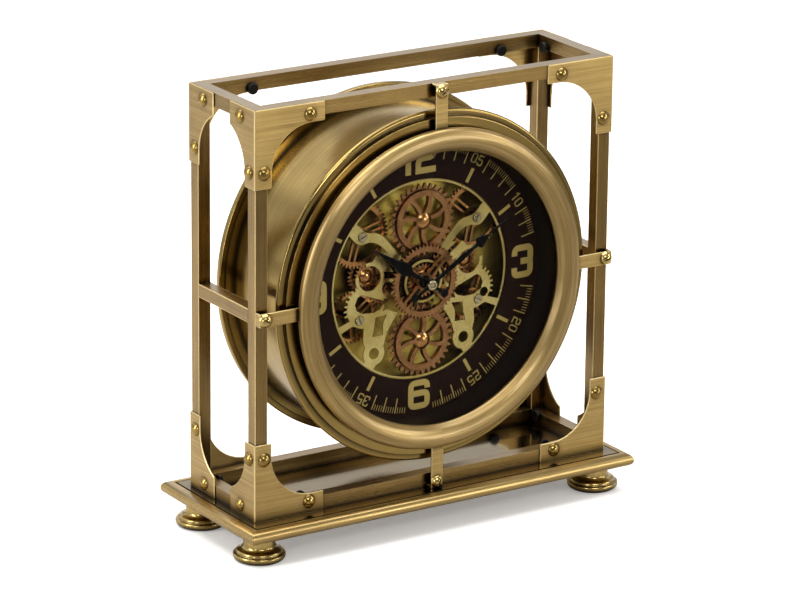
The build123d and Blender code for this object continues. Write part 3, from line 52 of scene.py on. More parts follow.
# Camera at the photograph's angle, angles in degrees, lengths in metres
cameraView = {
    "azimuth": -32.86,
    "elevation": 17.68,
    "roll": 0.6,
    "distance": 3.202,
    "lens": 200.1,
    "target": (-0.0012, 0.0, 0.1571),
    "clipEnd": 50.0,
}


def placeCamera(view):
    azimuth = math.radians(view["azimuth"])
    elevation = math.radians(view["elevation"])
    back = Vector((math.sin(azimuth) * math.cos(elevation), -math.cos(azimuth) * math.cos(elevation),
                   math.sin(elevation)))
    camera = bpy.data.objects.new("photoCamera", bpy.data.cameras.new("photoCamera"))
    camera.data.lens = view["lens"]
    camera.location = Vector(view["target"]) + back * view["distance"]
    turn = (-back).to_track_quat("-Z", "Y").to_matrix() @ Matrix.Rotation(math.radians(view["roll"]), 3, "Z")
    camera.rotation_euler = turn.to_euler()
    camera.data.clip_end = view["clipEnd"]
    bpy.context.scene.collection.objects.link(camera)
    bpy.context.scene.camera = camera


placeCamera(cameraView)


# Soft studio light: a large box overhead, long ones at the left, smaller ones at the right and in front. Places
# and sizes are in metres, powers in watts.
studioLights = {
    "overheadBox": {"place": (0.0, 0.15, 1.45), "aim": (0.0, 0.0, 0.15), "size": (1.7, 1.3), "power": 30.0},
    "leftBox": {"place": (-1.7, 0.1, 0.75), "aim": (0.0, 0.0, 0.17), "size": (0.5, 1.3), "power": 14.0},
    "rightBox": {"place": (1.5, -1.0, 0.8), "aim": (0.0, 0.0, 0.17), "size": (0.4, 1.1), "power": 7.0},
    "frontBox": {"place": (-0.6, -2.2, 1.5), "aim": (0.0, 0.0, 0.17), "size": (1.0, 0.5), "power": 14.0},
    "cornerBox": {"place": (-1.9, -1.2, 0.45), "aim": (0.0, 0.0, 0.17), "size": (0.3, 1.0), "power": 6.0},
    "fillBox": {"place": (1.8, -3.1, 0.4), "aim": (0.0, 0.0, 0.17), "size": (1.2, 0.9), "power": 20.0},
}
# The room is white to the camera. For everything else its front is dim, its backdrop and ceiling are bright, and
# stands and dark doorways, which bright metal mirrors as soft streaks, make it weaker and stronger.
studioRoom = {
    "backdrop": "#FFFFFF",
    "dim": "#5C5A56",
    "bright": "#FFFFFF",
    "toBright": (0.0, 0.75, 1.0),
    "brightRange": (-0.25, 0.85),
    "clutterScale": 2.2,
    "clutterDetail": 1.0,
    "clutterRange": (0.38, 0.62),
    "clutterStrength": (0.35, 1.25),
}


def hexColour(code):
    # sRGB hex to the linear numbers that shaders take
    parts = [int(code[start:start + 2], 16) / 255 for start in (1, 3, 5)]
    return [part / 12.92 if part <= 0.04045 else ((part + 0.055) / 1.055) ** 2.4 for part in parts] + [1.0]


def addNode(tree, kind, settings=None, inputs=None):
    # Adds a node, sets its properties, and sets or links its inputs
    node = tree.nodes.new(kind)
    for name, value in (settings or {}).items():
        setattr(node, name, value)
    for name, value in (inputs or {}).items():
        if isinstance(value, bpy.types.NodeSocket):
            tree.links.new(value, node.inputs[name])
        else:
            node.inputs[name].default_value = value
    return node


def noise(tree, place, scale, detail, roughness=0.5):
    return addNode(tree, "ShaderNodeTexNoise", None,
                   {"Vector": place, "Scale": scale, "Detail": detail, "Roughness": roughness}).outputs["Fac"]


def blend(tree, kind, share, low, high):
    # Mixes two numbers or two colours. The mix node has sockets of the same name, so they go by their index.
    first, result = {"FLOAT": (2, 0), "RGBA": (6, 2)}[kind]
    values = {0: share, first: low, first + 1: high}
    return addNode(tree, "ShaderNodeMix", {"data_type": kind}, values).outputs[result]


def mapTo(tree, value, source, target=(0.0, 1.0), curve="LINEAR"):
    return addNode(tree, "ShaderNodeMapRange", {"interpolation_type": curve},
                   {"Value": value, "From Min": source[0], "From Max": source[1],
                    "To Min": target[0], "To Max": target[1]}).outputs["Result"]


def vectorMath(tree, operation, *values):
    node = addNode(tree, "ShaderNodeVectorMath", {"operation": operation}, dict(enumerate(values)))
    return node.outputs["Value" if operation in ("DOT_PRODUCT", "LENGTH") else "Vector"]


def placeLights(lights):
    for name, light in lights.items():
        lamp = bpy.data.lights.new(name, "AREA")
        lamp.shape = "RECTANGLE"
        lamp.size, lamp.size_y = light["size"]
        lamp.energy = light["power"]
        holder = bpy.data.objects.new(name, lamp)
        holder.location = light["place"]
        aim = Vector(light["aim"]) - Vector(light["place"])
        holder.rotation_euler = aim.to_track_quat("-Z", "Y").to_euler()
        bpy.context.scene.collection.objects.link(holder)


def paintRoom(room):
    world = bpy.data.worlds.new("studioRoom")
    world.use_nodes = True
    tree = world.node_tree
    tree.nodes.clear()
    way = addNode(tree, "ShaderNodeTexCoord").outputs["Generated"]
    facing = vectorMath(tree, "DOT_PRODUCT", way, room["toBright"])
    rise = mapTo(tree, facing, room["brightRange"], curve="SMOOTHSTEP")
    lit = blend(tree, "RGBA", rise, hexColour(room["dim"]), hexColour(room["bright"]))
    clutter = noise(tree, way, room["clutterScale"], room["clutterDetail"])
    streaks = mapTo(tree, clutter, room["clutterRange"], room["clutterStrength"])
    seen = addNode(tree, "ShaderNodeLightPath").outputs["Is Camera Ray"]
    background = addNode(tree, "ShaderNodeBackground", None,
                         {"Color": blend(tree, "RGBA", seen, lit, hexColour(room["backdrop"])),
                          "Strength": blend(tree, "FLOAT", seen, streaks, 1.0)})
    addNode(tree, "ShaderNodeOutputWorld", None, {"Surface": background.outputs["Background"]})
    bpy.context.scene.world = world
    bpy.context.scene.view_settings.view_transform = "Standard"


placeLights(studioLights)
paintRoom(studioRoom)
print("camera, lights and room placed")


def newMaterial(name):
    material = bpy.data.materials.new(name)
    material.use_nodes = True
    tree = material.node_tree
    tree.nodes.clear()
    shader = addNode(tree, "ShaderNodeBsdfPrincipled")
    addNode(tree, "ShaderNodeOutputMaterial", None, {"Surface": shader.outputs["BSDF"]})
    return material, tree, shader


def linkSurface(tree, shader, colour, roughness, height, bump, bumpDistance):
    relief = addNode(tree, "ShaderNodeBump", None, {"Height": height, "Strength": bump, "Distance": bumpDistance})
    tree.links.new(colour, shader.inputs["Base Color"])
    tree.links.new(roughness, shader.inputs["Roughness"])
    tree.links.new(relief.outputs["Normal"], shader.inputs["Normal"])


# How often a pattern repeats per metre along X, Y and Z: brush lines some 0.5 mm wide and 50 mm long. On turned
# pieces it repeats along the radius and the depth in metres and the angle in radians.
grainScales = {
    "alongX": (20, 2000, 2000),
    "alongY": (2000, 20, 2000),
    "alongZ": (2000, 2000, 20),
    "level": (20, 20, 2000),
    "turned": (1600, 1600, 3),
    "cast": (400, 400, 400),
}
# Brushing along an axis spreads a highlight across the lines
grainAxes = {"alongX": (1.0, 0.0, 0.0), "alongY": (0.0, 1.0, 0.0), "alongZ": (0.0, 0.0, 1.0)}
# What all metals share. Fine brush lines, wider ones among them and a cloud over both are mixed to one value. It
# goes over the colour and the roughness of a finish within these ranges.
metalNoise = {
    "lineDetail": 3.0,
    "lineRoughness": 0.65,
    "wideScale": 0.28,
    "wideDetail": 1.0,
    "wideShare": 0.35,
    "cloudDetail": 4.0,
    "cloudRoughness": 0.6,
    "colourRange": (0.33, 0.67),
    "roughnessRange": (0.3, 0.7),
}
# Bump in metres, and how a brushed face spreads its highlight. A quarter turn lays it across the rings.
metalShine = {"bumpDistance": 0.0004, "lacquerRoughness": 0.2, "brushSpread": 0.6, "turnedRotation": 0.25}

# Brass, copper, bronze and steel. Real brass is 0.1 to 0.5 rough when it is brushed.
metalFinishes = {
    # Brass darkened in a bath and brushed back: brown in the lines, golden between them
    "brushedAntiqueBrass": {"dark": "#886D3B", "light": "#CBAD6B", "patinaAndShade": "#33240F", "roughness": (0.24, 0.38),
                            "bump": 0.10, "cloud": 22, "cloudShare": 0.25, "lacquer": 0.5},
    # Drawn tube of the frame, the same bath left a little darker
    "drawnTubeBrass": {"dark": "#6B5229", "light": "#A98B50", "patinaAndShade": "#2B1D0C", "roughness": (0.22, 0.36),
                       "bump": 0.10, "cloud": 22, "cloudShare": 0.3, "lacquer": 0.5},
    # The bezel, of the same brass rubbed with a coarser cloth, so its highlights are broad
    "turnedBezelBrass": {"dark": "#8A7040", "light": "#C9AC70", "patinaAndShade": "#33240F", "roughness": (0.34, 0.48),
                         "bump": 0.08, "cloud": 22, "cloudShare": 0.15, "lacquer": 0.5},
    # The same sheet where an edge or a bend is rubbed bright, made paler still as a painted highlight
    "rubbedBrassEdge": {"dark": "#DEC388", "light": "#F4DFA8", "patinaAndShade": "#B4985C", "roughness": (0.40, 0.52),
                        "bump": 0.02, "cloud": 60, "cloudShare": 0.2},
    # Spun drum and its cover, satin under lacquer, smoother than the frame
    "satinDrumBrass": {"dark": "#8A723C", "light": "#BFA35E", "patinaAndShade": "#2E2211", "roughness": (0.14, 0.22),
                       "bump": 0.03, "cloud": 14, "cloudShare": 0.5, "lacquer": 0.3},
    # Buffed brass, slightly olive under its lacquer
    "buffedBrass": {"dark": "#AA9252", "light": "#D6BA76", "patinaAndShade": "#4A3A1C", "roughness": (0.16, 0.26),
                    "bump": 0.015, "cloud": 18, "cloudShare": 0.35, "lacquer": 0.4},
    # Base plate: the same brass buffed to a mirror and left darker
    "mirrorOliveBrass": {"dark": "#64532B", "light": "#8A7544", "patinaAndShade": "#2A1E0C", "roughness": (0.06, 0.12),
                         "bump": 0.02, "cloud": 18, "cloudShare": 0.35, "lacquer": 0.4},
    # Floor of the works: brass sheet scoured in rings, yellow with a green cast. Its long reach paints shade on it
    # under the gears.
    "scouredYellowBrass": {"dark": "#A68E34", "light": "#F2DA76", "patinaAndShade": "#3E3010", "roughness": (0.28, 0.42),
                           "bump": 0.06, "cloud": 30, "cloudShare": 0.5, "reach": 0.014},
    # Rivets and gear posts, turned and left to darken
    "turnedBrassHead": {"dark": "#846C36", "light": "#B7995A", "patinaAndShade": "#33240F", "roughness": (0.16, 0.30),
                        "bump": 0.05, "cloud": 220, "cloudShare": 0.6},
    # Polished copper hubs of the gears
    "polishedHub": {"dark": "#A8713E", "light": "#E0AC70", "patinaAndShade": "#4A2C14", "roughness": (0.16, 0.30),
                    "bump": 0.08, "cloud": 400, "cloudShare": 0.7},
    # Stamped plate, yellow, with broad lighter and darker zones of colour: painted reflection of the lights
    "stampedPlateBrass": {"dark": "#A98F3C", "light": "#F8E79E", "patinaAndShade": "#5E4C1A", "roughness": (0.24, 0.32),
                          "bump": 0.02, "cloud": 16, "cloudShare": 0.85, "reach": 0.0016},
    # Pale nickelled brass of the cap on the hands and of the plate's screws
    "paleNickel": {"dark": "#B3A683", "light": "#E6DBB8", "patinaAndShade": "#4A402A", "roughness": (0.14, 0.24),
                   "bump": 0.02, "cloud": 160, "cloudShare": 0.4, "reach": 0.0006},
    # Copper wash on stamped gears, brown with a soft shine
    "copperWash": {"dark": "#765031", "light": "#BC8C5E", "patinaAndShade": "#2C180C", "roughness": (0.24, 0.38),
                   "bump": 0.05, "cloud": 110, "cloudShare": 0.5, "reach": 0.0018},
    # Dark bronze colour of the centre drive wheel, which sits behind the ring gear
    "darkBronze": {"dark": "#35251A", "light": "#624730", "patinaAndShade": "#120B06", "roughness": (0.30, 0.45),
                   "bump": 0.05, "cloud": 110, "cloudShare": 0.4},
    # Steel of the foot and cover screws and of the motor's can
    "brightSteel": {"dark": "#6F6C63", "light": "#AAA69B", "patinaAndShade": "#2C2924", "roughness": (0.20, 0.32),
                    "bump": 0.03, "cloud": 160, "cloudShare": 0.5},
}
# Patina stays in the corners and round the heads, where no cloth reaches, and painted shade goes with it: the
# colour darkens in corners, gaps and grooves where shade falls. It is full where the first share of the sky is
# open within the reach in metres, and gone where the second is.
patinaAndShade = {"reach": 0.005, "openSky": (0.58, 0.97), "samples": 6}


def turnedPlace(tree, place):
    # A place as its radius, depth and angle round the drum's axis
    centred = vectorMath(tree, "SUBTRACT", place, dialCentre)
    axes = addNode(tree, "ShaderNodeSeparateXYZ", None, {"Vector": centred}).outputs
    flat = addNode(tree, "ShaderNodeCombineXYZ", None, {"X": axes["X"], "Y": axes["Z"]}).outputs["Vector"]
    turn = addNode(tree, "ShaderNodeMath", {"operation": "ARCTAN2"}, {0: axes["X"], 1: axes["Z"]}).outputs["Value"]
    return addNode(tree, "ShaderNodeCombineXYZ", None,
                   {"X": vectorMath(tree, "LENGTH", flat), "Y": axes["Y"], "Z": turn}).outputs["Vector"]


def brushTangent(tree, grain):
    # The tangent that turns the spread of a highlight across the brush lines
    if grain == "turned":
        return addNode(tree, "ShaderNodeTangent", {"direction_type": "RADIAL", "axis": "Y"}).outputs["Tangent"]
    if grain == "level":
        return addNode(tree, "ShaderNodeCombineXYZ", None, {"Z": 1.0}).outputs["Vector"]
    normal = addNode(tree, "ShaderNodeNewGeometry").outputs["Normal"]
    return vectorMath(tree, "CROSS_PRODUCT", normal, grainAxes[grain])


def metalMaterial(finishName, grain):
    # One metal finish, brushed along an axis, level, turned round the drum's axis, or cast
    metal = metalFinishes[finishName]
    material, tree, shader = newMaterial(finishName + grain[0].upper() + grain[1:])
    place = addNode(tree, "ShaderNodeTexCoord").outputs["Object"]
    brushPlace = turnedPlace(tree, place) if grain == "turned" else place
    stretched = vectorMath(tree, "MULTIPLY", brushPlace, grainScales[grain])
    lines = noise(tree, stretched, 1.0, metalNoise["lineDetail"], metalNoise["lineRoughness"])
    wide = noise(tree, stretched, metalNoise["wideScale"], metalNoise["wideDetail"])
    brushed = blend(tree, "FLOAT", metalNoise["wideShare"], lines, wide)
    cloud = noise(tree, place, metal["cloud"], metalNoise["cloudDetail"], metalNoise["cloudRoughness"])
    mixed = blend(tree, "FLOAT", metal["cloudShare"], brushed, cloud)
    colour = blend(tree, "RGBA", mapTo(tree, mixed, metalNoise["colourRange"]),
                   hexColour(metal["dark"]), hexColour(metal["light"]))
    # Patina in the hollows together with painted shade: darker where little of the sky is open within the reach
    sky = addNode(tree, "ShaderNodeAmbientOcclusion", {"samples": patinaAndShade["samples"]},
                  {"Distance": metal.get("reach", patinaAndShade["reach"])}).outputs["AO"]
    agedAndShaded = blend(tree, "RGBA", mapTo(tree, sky, patinaAndShade["openSky"]), hexColour(metal["patinaAndShade"]), colour)
    smooth, rough = metal["roughness"]
    roughness = mapTo(tree, mixed, metalNoise["roughnessRange"], (rough, smooth))
    linkSurface(tree, shader, agedAndShaded, roughness, lines, metal["bump"], metalShine["bumpDistance"])
    shader.inputs["Metallic"].default_value = 1.0
    # Clear lacquer adds a white shine where the metal is seen at a low angle
    shader.inputs["Coat Weight"].default_value = metal.get("lacquer", 0.0)
    shader.inputs["Coat Roughness"].default_value = metalShine["lacquerRoughness"]
    if grain != "cast":
        tree.links.new(brushTangent(tree, grain), shader.inputs["Tangent"])
        shader.inputs["Anisotropic"].default_value = metalShine["brushSpread"]
    if grain == "turned":
        shader.inputs["Anisotropic Rotation"].default_value = metalShine["turnedRotation"]
    return material


# Paints, plastics and wraps. Paint and ABS have an IOR near 1.5; a shine under 0.5 is a matting agent.
coatFinishes = {
    # Satin enamel of the dial, dark brown with the faint orange peel of spraying
    "dialEnamel": {"dark": "#1B0C08", "light": "#26130D", "roughness": (0.42, 0.55), "bump": 0.03, "scale": 900,
                   "ior": 1.5, "shine": 0.05},
    # Brown-black matte paint of the inner wall
    "wallPaint": {"dark": "#0B0504", "light": "#150B08", "roughness": (0.40, 0.55), "bump": 0.03, "scale": 700,
                  "ior": 1.5, "shine": 0.12},
    # Black satin paint of the nuts and the spacers
    "blackSatinPaint": {"dark": "#070504", "light": "#0F0C0A", "roughness": (0.35, 0.50), "bump": 0.04,
                        "scale": 700, "ior": 1.5, "shine": 0.2},
    # Black lacquer of the hands
    "handLacquer": {"dark": "#020202", "light": "#040404", "roughness": (0.30, 0.34), "bump": 0.002, "scale": 120,
                    "ior": 1.52, "shine": 0.06},
    # The same lacquer on the rounded rim of a hand, lighter and shinier: a painted highlight where the rim catches
    # the light
    "handRimPaintedSheen": {"dark": "#0C0C0C", "light": "#141414", "roughness": (0.18, 0.22), "bump": 0.002, "scale": 120,
                "ior": 1.52, "shine": 0.7},
    # Gold ink of the dial print, dull and slightly grainy
    "goldInk": {"dark": "#A99248", "light": "#C9B268", "roughness": (0.48, 0.60), "bump": 0.04, "scale": 1500,
                "ior": 1.5, "shine": 0.3},
    # Moulded ABS with a spark-eroded grain
    "blackAbs": {"dark": "#101011", "light": "#1B1B1C", "roughness": (0.45, 0.60), "bump": 0.12, "scale": 1800,
                 "ior": 1.53, "shine": 0.5},
    # Plain shrink wrap of the cells
    "batteryWrap": {"dark": "#3E444B", "light": "#4C535B", "roughness": (0.25, 0.35), "bump": 0.02, "scale": 300,
                    "ior": 1.5, "shine": 0.5},
}
# What all coats share: one even grain, which goes over the colour and the roughness, and its bump in metres
coatNoise = {"detail": 3.0, "roughness": 0.6, "roughnessRange": (0.3, 0.7), "bumpDistance": 0.0002}


def coatMaterial(coatName):
    coat = coatFinishes[coatName]
    material, tree, shader = newMaterial(coatName)
    place = addNode(tree, "ShaderNodeTexCoord").outputs["Object"]
    grain = noise(tree, place, coat["scale"], coatNoise["detail"], coatNoise["roughness"])
    colour = blend(tree, "RGBA", grain, hexColour(coat["dark"]), hexColour(coat["light"]))
    roughness = mapTo(tree, grain, coatNoise["roughnessRange"], coat["roughness"])
    linkSurface(tree, shader, colour, roughness, grain, coat["bump"], coatNoise["bumpDistance"])
    shader.inputs["IOR"].default_value = coat["ior"]
    shader.inputs["Specular IOR Level"].default_value = coat["shine"]
    return material


# Float glass with an anti-glare coat, which leaves it a small share of the mirror that bare glass has
paneGlass = {"tint": "#FBFBFA", "roughness": (0.01, 0.03), "smudgeScale": 22.0, "smudgeDetail": 2.0, "ior": 1.5,
             "mirrorShare": 0.045}


def glassMaterial(glass):
    material = bpy.data.materials.new("floatGlass")
    material.use_nodes = True
    tree = material.node_tree
    tree.nodes.clear()
    place = addNode(tree, "ShaderNodeTexCoord").outputs["Object"]
    smudge = noise(tree, place, glass["smudgeScale"], glass["smudgeDetail"])
    gloss = mapTo(tree, smudge, (0.0, 1.0), glass["roughness"])
    clear = addNode(tree, "ShaderNodeBsdfTransparent", None, {"Color": hexColour(glass["tint"])})
    mirror = addNode(tree, "ShaderNodeBsdfGlossy", None, {"Roughness": gloss})
    edge = addNode(tree, "ShaderNodeFresnel", None, {"IOR": glass["ior"]})
    coated = addNode(tree, "ShaderNodeMath", {"operation": "MULTIPLY"},
                     {0: edge.outputs["Fac"], 1: glass["mirrorShare"]})
    pane = addNode(tree, "ShaderNodeMixShader", None,
                   {0: coated.outputs["Value"], 1: clear.outputs["BSDF"], 2: mirror.outputs["BSDF"]})
    addNode(tree, "ShaderNodeOutputMaterial", None, {"Surface": pane.outputs["Shader"]})
    return material


finishCache = {}


def finish(name, grain="cast"):
    # The material for a finish, made once
    key = name + grain
    if key not in finishCache:
        if name in metalFinishes:
            finishCache[key] = metalMaterial(name, grain)
        elif name in coatFinishes:
            finishCache[key] = coatMaterial(name)
        else:
            finishCache[key] = glassMaterial(paneGlass)
    return finishCache[key]


def addPiece(name, shape, materials, node, smoothAngle=30.0):
    # Makes an object of a bmesh, gives it its materials, and lets it ride on the body of a CAD node
    mesh = bpy.data.meshes.new(name)
    shape.to_mesh(mesh)
    shape.free()
    mesh.shade_smooth()
    mesh.set_sharp_from_angle(angle=math.radians(smoothAngle))
    for material in materials:
        mesh.materials.append(material)
    piece = bpy.data.objects.new(name, mesh)
    bpy.context.scene.collection.objects.link(piece)
    weighted = piece.modifiers.new("evenNormals", "WEIGHTED_NORMAL")
    weighted.keep_sharp = True
    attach(piece, bodyOfNode[node])
    return piece


def longChains(edges, least):
    # The edges that hang together over more than a length, so that the rims of small holes are left out
    waiting, kept = set(edges), []
    while waiting:
        chain, front = [], [waiting.pop()]
        while front:
            edge = front.pop()
            chain.append(edge)
            near = {other for vert in edge.verts for other in vert.link_edges} & waiting
            waiting -= near
            front.extend(near)
        spots = [vert.co for edge in chain for vert in edge.verts]
        if max(max(spot[axis] for spot in spots) - min(spot[axis] for spot in spots) for axis in range(3)) > least:
            kept.extend(chain)
    return kept


# Care of a mesh before and while its edges are broken: lengths in millimetres, angles in degrees. A face of a
# bend is slanted in plan and upright, by the parts of its normal.
meshCare = {"mergeDistance": 0.002, "flatAngle": 0.4, "sharpAngle": 28.0, "alongShare": 0.999, "roundProfile": 0.5,
            "slanted": 0.2, "upright": 0.1}


def bevelSharp(shape, width, segments, edgeSlot, along=None, sharpAngle=meshCare["sharpAngle"], least=0.0):
    # Rounds the edges that are sharper than an angle, along one axis or longer than a length where one is given
    limit = math.radians(sharpAngle)
    edges = [edge for edge in shape.edges if len(edge.link_faces) == 2 and edge.calc_face_angle() > limit]
    if along is not None:
        edges = [edge for edge in edges
                 if abs((edge.verts[1].co - edge.verts[0].co).normalized().dot(along)) > meshCare["alongShare"]]
    if least > 0:
        edges = sorted(longChains(edges, least * mm), key=lambda edge: edge.index)
    made = bmesh.ops.bevel(shape, geom=edges, offset=width * mm, offset_type="OFFSET", affect="EDGES",
                           segments=segments, profile=meshCare["roundProfile"], material=-1, clamp_overlap=True)
    for face in made["faces"]:
        face.material_index = edgeSlot


def isBend(face):
    # Whether a face belongs to the upright bend of a corner plate
    normal = face.normal
    return min(abs(normal.x), abs(normal.y)) > meshCare["slanted"] and abs(normal.z) < meshCare["upright"]


def refineNode(node, surface, edgeSurface=None, width=0.25, segments=1, along=None,
               sharpAngle=meshCare["sharpAngle"], hub=None, least=0.0, bend=False):
    # A merged copy of a CAD node with its edges broken, which stands for the node. The second material goes
    # on the broken edges, or where there is a hub, on the faces nearer to its axis than its radius. With a
    # bend, it goes on the upright faces of the bend too.
    shape = bmesh.new()
    shape.from_mesh(frame["nodes"][node].data)
    bmesh.ops.remove_doubles(shape, verts=shape.verts, dist=meshCare["mergeDistance"] * mm)
    bmesh.ops.dissolve_limit(shape, angle_limit=math.radians(meshCare["flatAngle"]), verts=shape.verts,
                             edges=shape.edges)
    shape.edges.index_update()
    bevelSharp(shape, width, segments, 1 if edgeSurface and not hub else 0, along, sharpAngle, least)
    for face in shape.faces:
        if hub:
            middle = face.calc_center_median() - hub["axis"]
            inside = math.hypot(middle.x, middle.z) < hub["radius"] * mm and middle.y < hub["front"] * mm
            face.material_index = 1 if inside else 0
        # Upright bend faces take the edge finish: rubbed brass and a painted highlight
        if bend and isBend(face):
            face.material_index = 1
    materials = [surface] + ([edgeSurface] if edgeSurface else [])
    piece = addPiece(node + "_finished", shape, materials, node)
    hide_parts(node)


def shadeNode(node, material):
    # Gives a CAD node's own object a finish
    slots = frame["nodes"][node].data.materials
    slots.clear()
    slots.append(material)


def dressNodes(dress):
    # A node with settings for its edges gets a copy with broken edges, and another keeps its CAD mesh
    for node, (look, edges) in dress.items():
        if edges:
            refineNode(node, finish(*look), **edges)
        else:
            shadeNode(node, finish(*look))


sameSpot = {"profile": 1e-4, "mesh": 0.001}  # millimetres within which two points are one


def profileRun(runs, steps):
    # Points of a profile: a run of two points is a straight line, one of four a curve with its handles
    points = []
    for run in runs:
        corners = [Vector((radius, depth, 0.0)) for radius, depth in run]
        part = corners if len(run) == 2 else interpolate_bezier(*corners, steps)
        points += [point for point in part if not points or (point - points[-1]).length > sameSpot["profile"]]
    if (points[0] - points[-1]).length < sameSpot["profile"]:
        points.pop()
    return points


def spinProfile(shape, points, steps):
    # Spins a closed profile of radius and depth in millimetres round the drum's axis
    start = Matrix.Translation(dialCentre)
    verts = [shape.verts.new(start @ (Vector((point.x, point.y, 0.0)) * mm)) for point in points]
    edges = [shape.edges.new(pair) for pair in zip(verts, verts[1:] + verts[:1])]
    bmesh.ops.spin(shape, geom=verts + edges, cent=dialCentre, axis=(0, 1, 0), angle=2 * math.pi, steps=steps,
                   use_merge=True)
    bmesh.ops.remove_doubles(shape, verts=shape.verts, dist=sameSpot["mesh"] * mm)
    bmesh.ops.recalc_face_normals(shape, faces=shape.faces)


# Bezel: a rolled brass ring, radii and depths in millimetres
bezelRing = {
    "runs": (((111.7, -50.2), (117.6, -50.2)), ((118.0, -50.6), (118.0, -53.0)),
             ((118.0, -53.0), (118.0, -55.0), (115.6, -56.6), (111.4, -57.2)),
             ((111.0, -57.2), (108.2, -57.4), (105.4, -56.0), (103.6, -54.2)), ((103.6, -54.2), (101.2, -51.2)),
             ((101.0, -50.8), (101.0, -48.9)), ((103.8, -48.9), (103.8, -46.4)), ((111.7, -46.4), (111.7, -50.2))),
    "curveSteps": 12,
    "spinSteps": 240,
    "smoothAngle": 35.0,
}


def makeBezel(ring):
    shape = bmesh.new()
    spinProfile(shape, profileRun(ring["runs"], ring["curveSteps"]), ring["spinSteps"])
    piece = addPiece("bezelRing", shape, [finish("turnedBezelBrass", "turned")], "bezel", ring["smoothAngle"])
    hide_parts("bezel")


makeBezel(bezelRing)


# Drum: spun sheet with a step ring, a bead and a rear flange
drumShell = {
    "runs": (((112.0, -50.2), (115.0, -50.2)), ((115.0, -45.0), (124.2, -45.0)), ((124.5, -44.7), (124.5, -42.0)),
             ((128.0, -42.0), (129.4, -41.8), (130.0, -41.0), (130.0, -40.0)),
             ((130.0, -40.0), (130.0, -39.0), (129.4, -38.2), (128.0, -38.0)), ((120.0, -38.0), (120.0, 34.0)),
             ((126.5, 34.0), (126.5, 35.2)), ((130.4, 35.2), (131.0, 35.8)), ((131.0, 39.4), (130.4, 40.0)),
             ((116.8, 40.0), (116.8, 36.0)), ((110.0, 36.0), (110.0, 34.0)), ((117.5, 34.0), (117.5, -4.5)),
             ((99.0, -4.5), (99.0, -6.5)), ((117.5, -6.5), (117.5, -43.0)), ((112.0, -43.0), (112.0, -50.2))),
    "curveSteps": 7,
    "spinSteps": 240,
    "edgeWidth": 0.3,
    "edgeSegments": 2,
    "sharpAngle": 40.0,
    "smoothAngle": 35.0,
}


def makeDrum(drum):
    shape = bmesh.new()
    spinProfile(shape, profileRun(drum["runs"], drum["curveSteps"]), drum["spinSteps"])
    bevelSharp(shape, drum["edgeWidth"], drum["edgeSegments"], 0, sharpAngle=drum["sharpAngle"])
    piece = addPiece("drumShell", shape, [finish("satinDrumBrass", "turned")], "drum_case", drum["smoothAngle"])
    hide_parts("drum_case")


makeDrum(drumShell)
print("bezel and drum turned")


# Edge finish: rubbed bright brass, with a painted highlight along the broken edges and bends
rubbedHighlitEdge = finish("rubbedBrassEdge")

# Frame tubes: the long edges are rounded as drawn tube is, the mitres stay closed
tubeEdges = {"edgeSurface": rubbedHighlitEdge, "width": 0.6, "segments": 2}
tubeGrains = {
    "top_rail_front": "alongX", "top_rail_rear": "alongX", "bottom_rail_front": "alongX",
    "bottom_rail_rear": "alongX", "top_side_rails": "alongY", "bottom_side_rails": "alongY",
    "middle_side_rails": "alongY", "post_front_left": "alongZ", "post_front_right": "alongZ",
    "post_rear_left": "alongZ", "post_rear_right": "alongZ",
}
for node, grain in tubeGrains.items():
    refineNode(node, finish("drawnTubeBrass", grain), along=Vector(grainAxes[grain]), **tubeEdges)

# Corner plates, strips, base and fasteners. Each has its finish and grain, then how its edges are broken: the
# width and the least length of an edge in millimetres, the angle in degrees.
gussetEdges = {"edgeSurface": rubbedHighlitEdge, "width": 0.6, "least": 8.0, "bend": True}
frameDress = {
    "upper_gussets": (("brushedAntiqueBrass", "level"), gussetEdges),
    "lower_gussets": (("brushedAntiqueBrass", "level"), gussetEdges),
    "hanger_strips": (("brushedAntiqueBrass", "level"), {"edgeSurface": rubbedHighlitEdge, "width": 0.4, "least": 8.0}),
    "base_moulding": (("brushedAntiqueBrass", "alongX"),
                      {"edgeSurface": rubbedHighlitEdge, "width": 0.4, "sharpAngle": 50.0, "least": 12.0}),
    "base_plate": (("mirrorOliveBrass", "alongX"), {"width": 0.3}),
    "feet": (("buffedBrass",), {"width": 0.3, "segments": 2, "sharpAngle": 45.0}),
    "rear_cover": (("satinDrumBrass", "turned"), {"edgeSurface": rubbedHighlitEdge, "width": 0.3}),
    "gusset_rivets": (("turnedBrassHead",), {"width": 0.15}),
    "hanger_screws": (("buffedBrass",), {"width": 0.15}),
    "gusset_nuts": (("blackSatinPaint",), {"width": 0.2}),
    "hanger_spacers": (("blackSatinPaint",), None),
    "foot_screws": (("brightSteel",), None),
    "cover_screws": (("brightSteel",), {"width": 0.12}),
    "plate_screws": (("paleNickel",), {"width": 0.12}),
}
dressNodes(frameDress)
print("frame, base and fasteners finished")

# Dial and plates
dialDress = {
    "glass": (("floatGlass",), {"width": 0.3}),
    "rehaut": (("wallPaint",), {"width": 0.15}),
    "dial_ring": (("dialEnamel",), {"width": 0.1}),
    "skeleton_plate": (("stampedPlateBrass",), {"edgeSurface": rubbedHighlitEdge, "width": 0.12}),
    "back_plate": (("scouredYellowBrass", "turned"), {"width": 0.2}),
    "gear_posts": (("turnedBrassHead",), None),
}
dressNodes(dialDress)

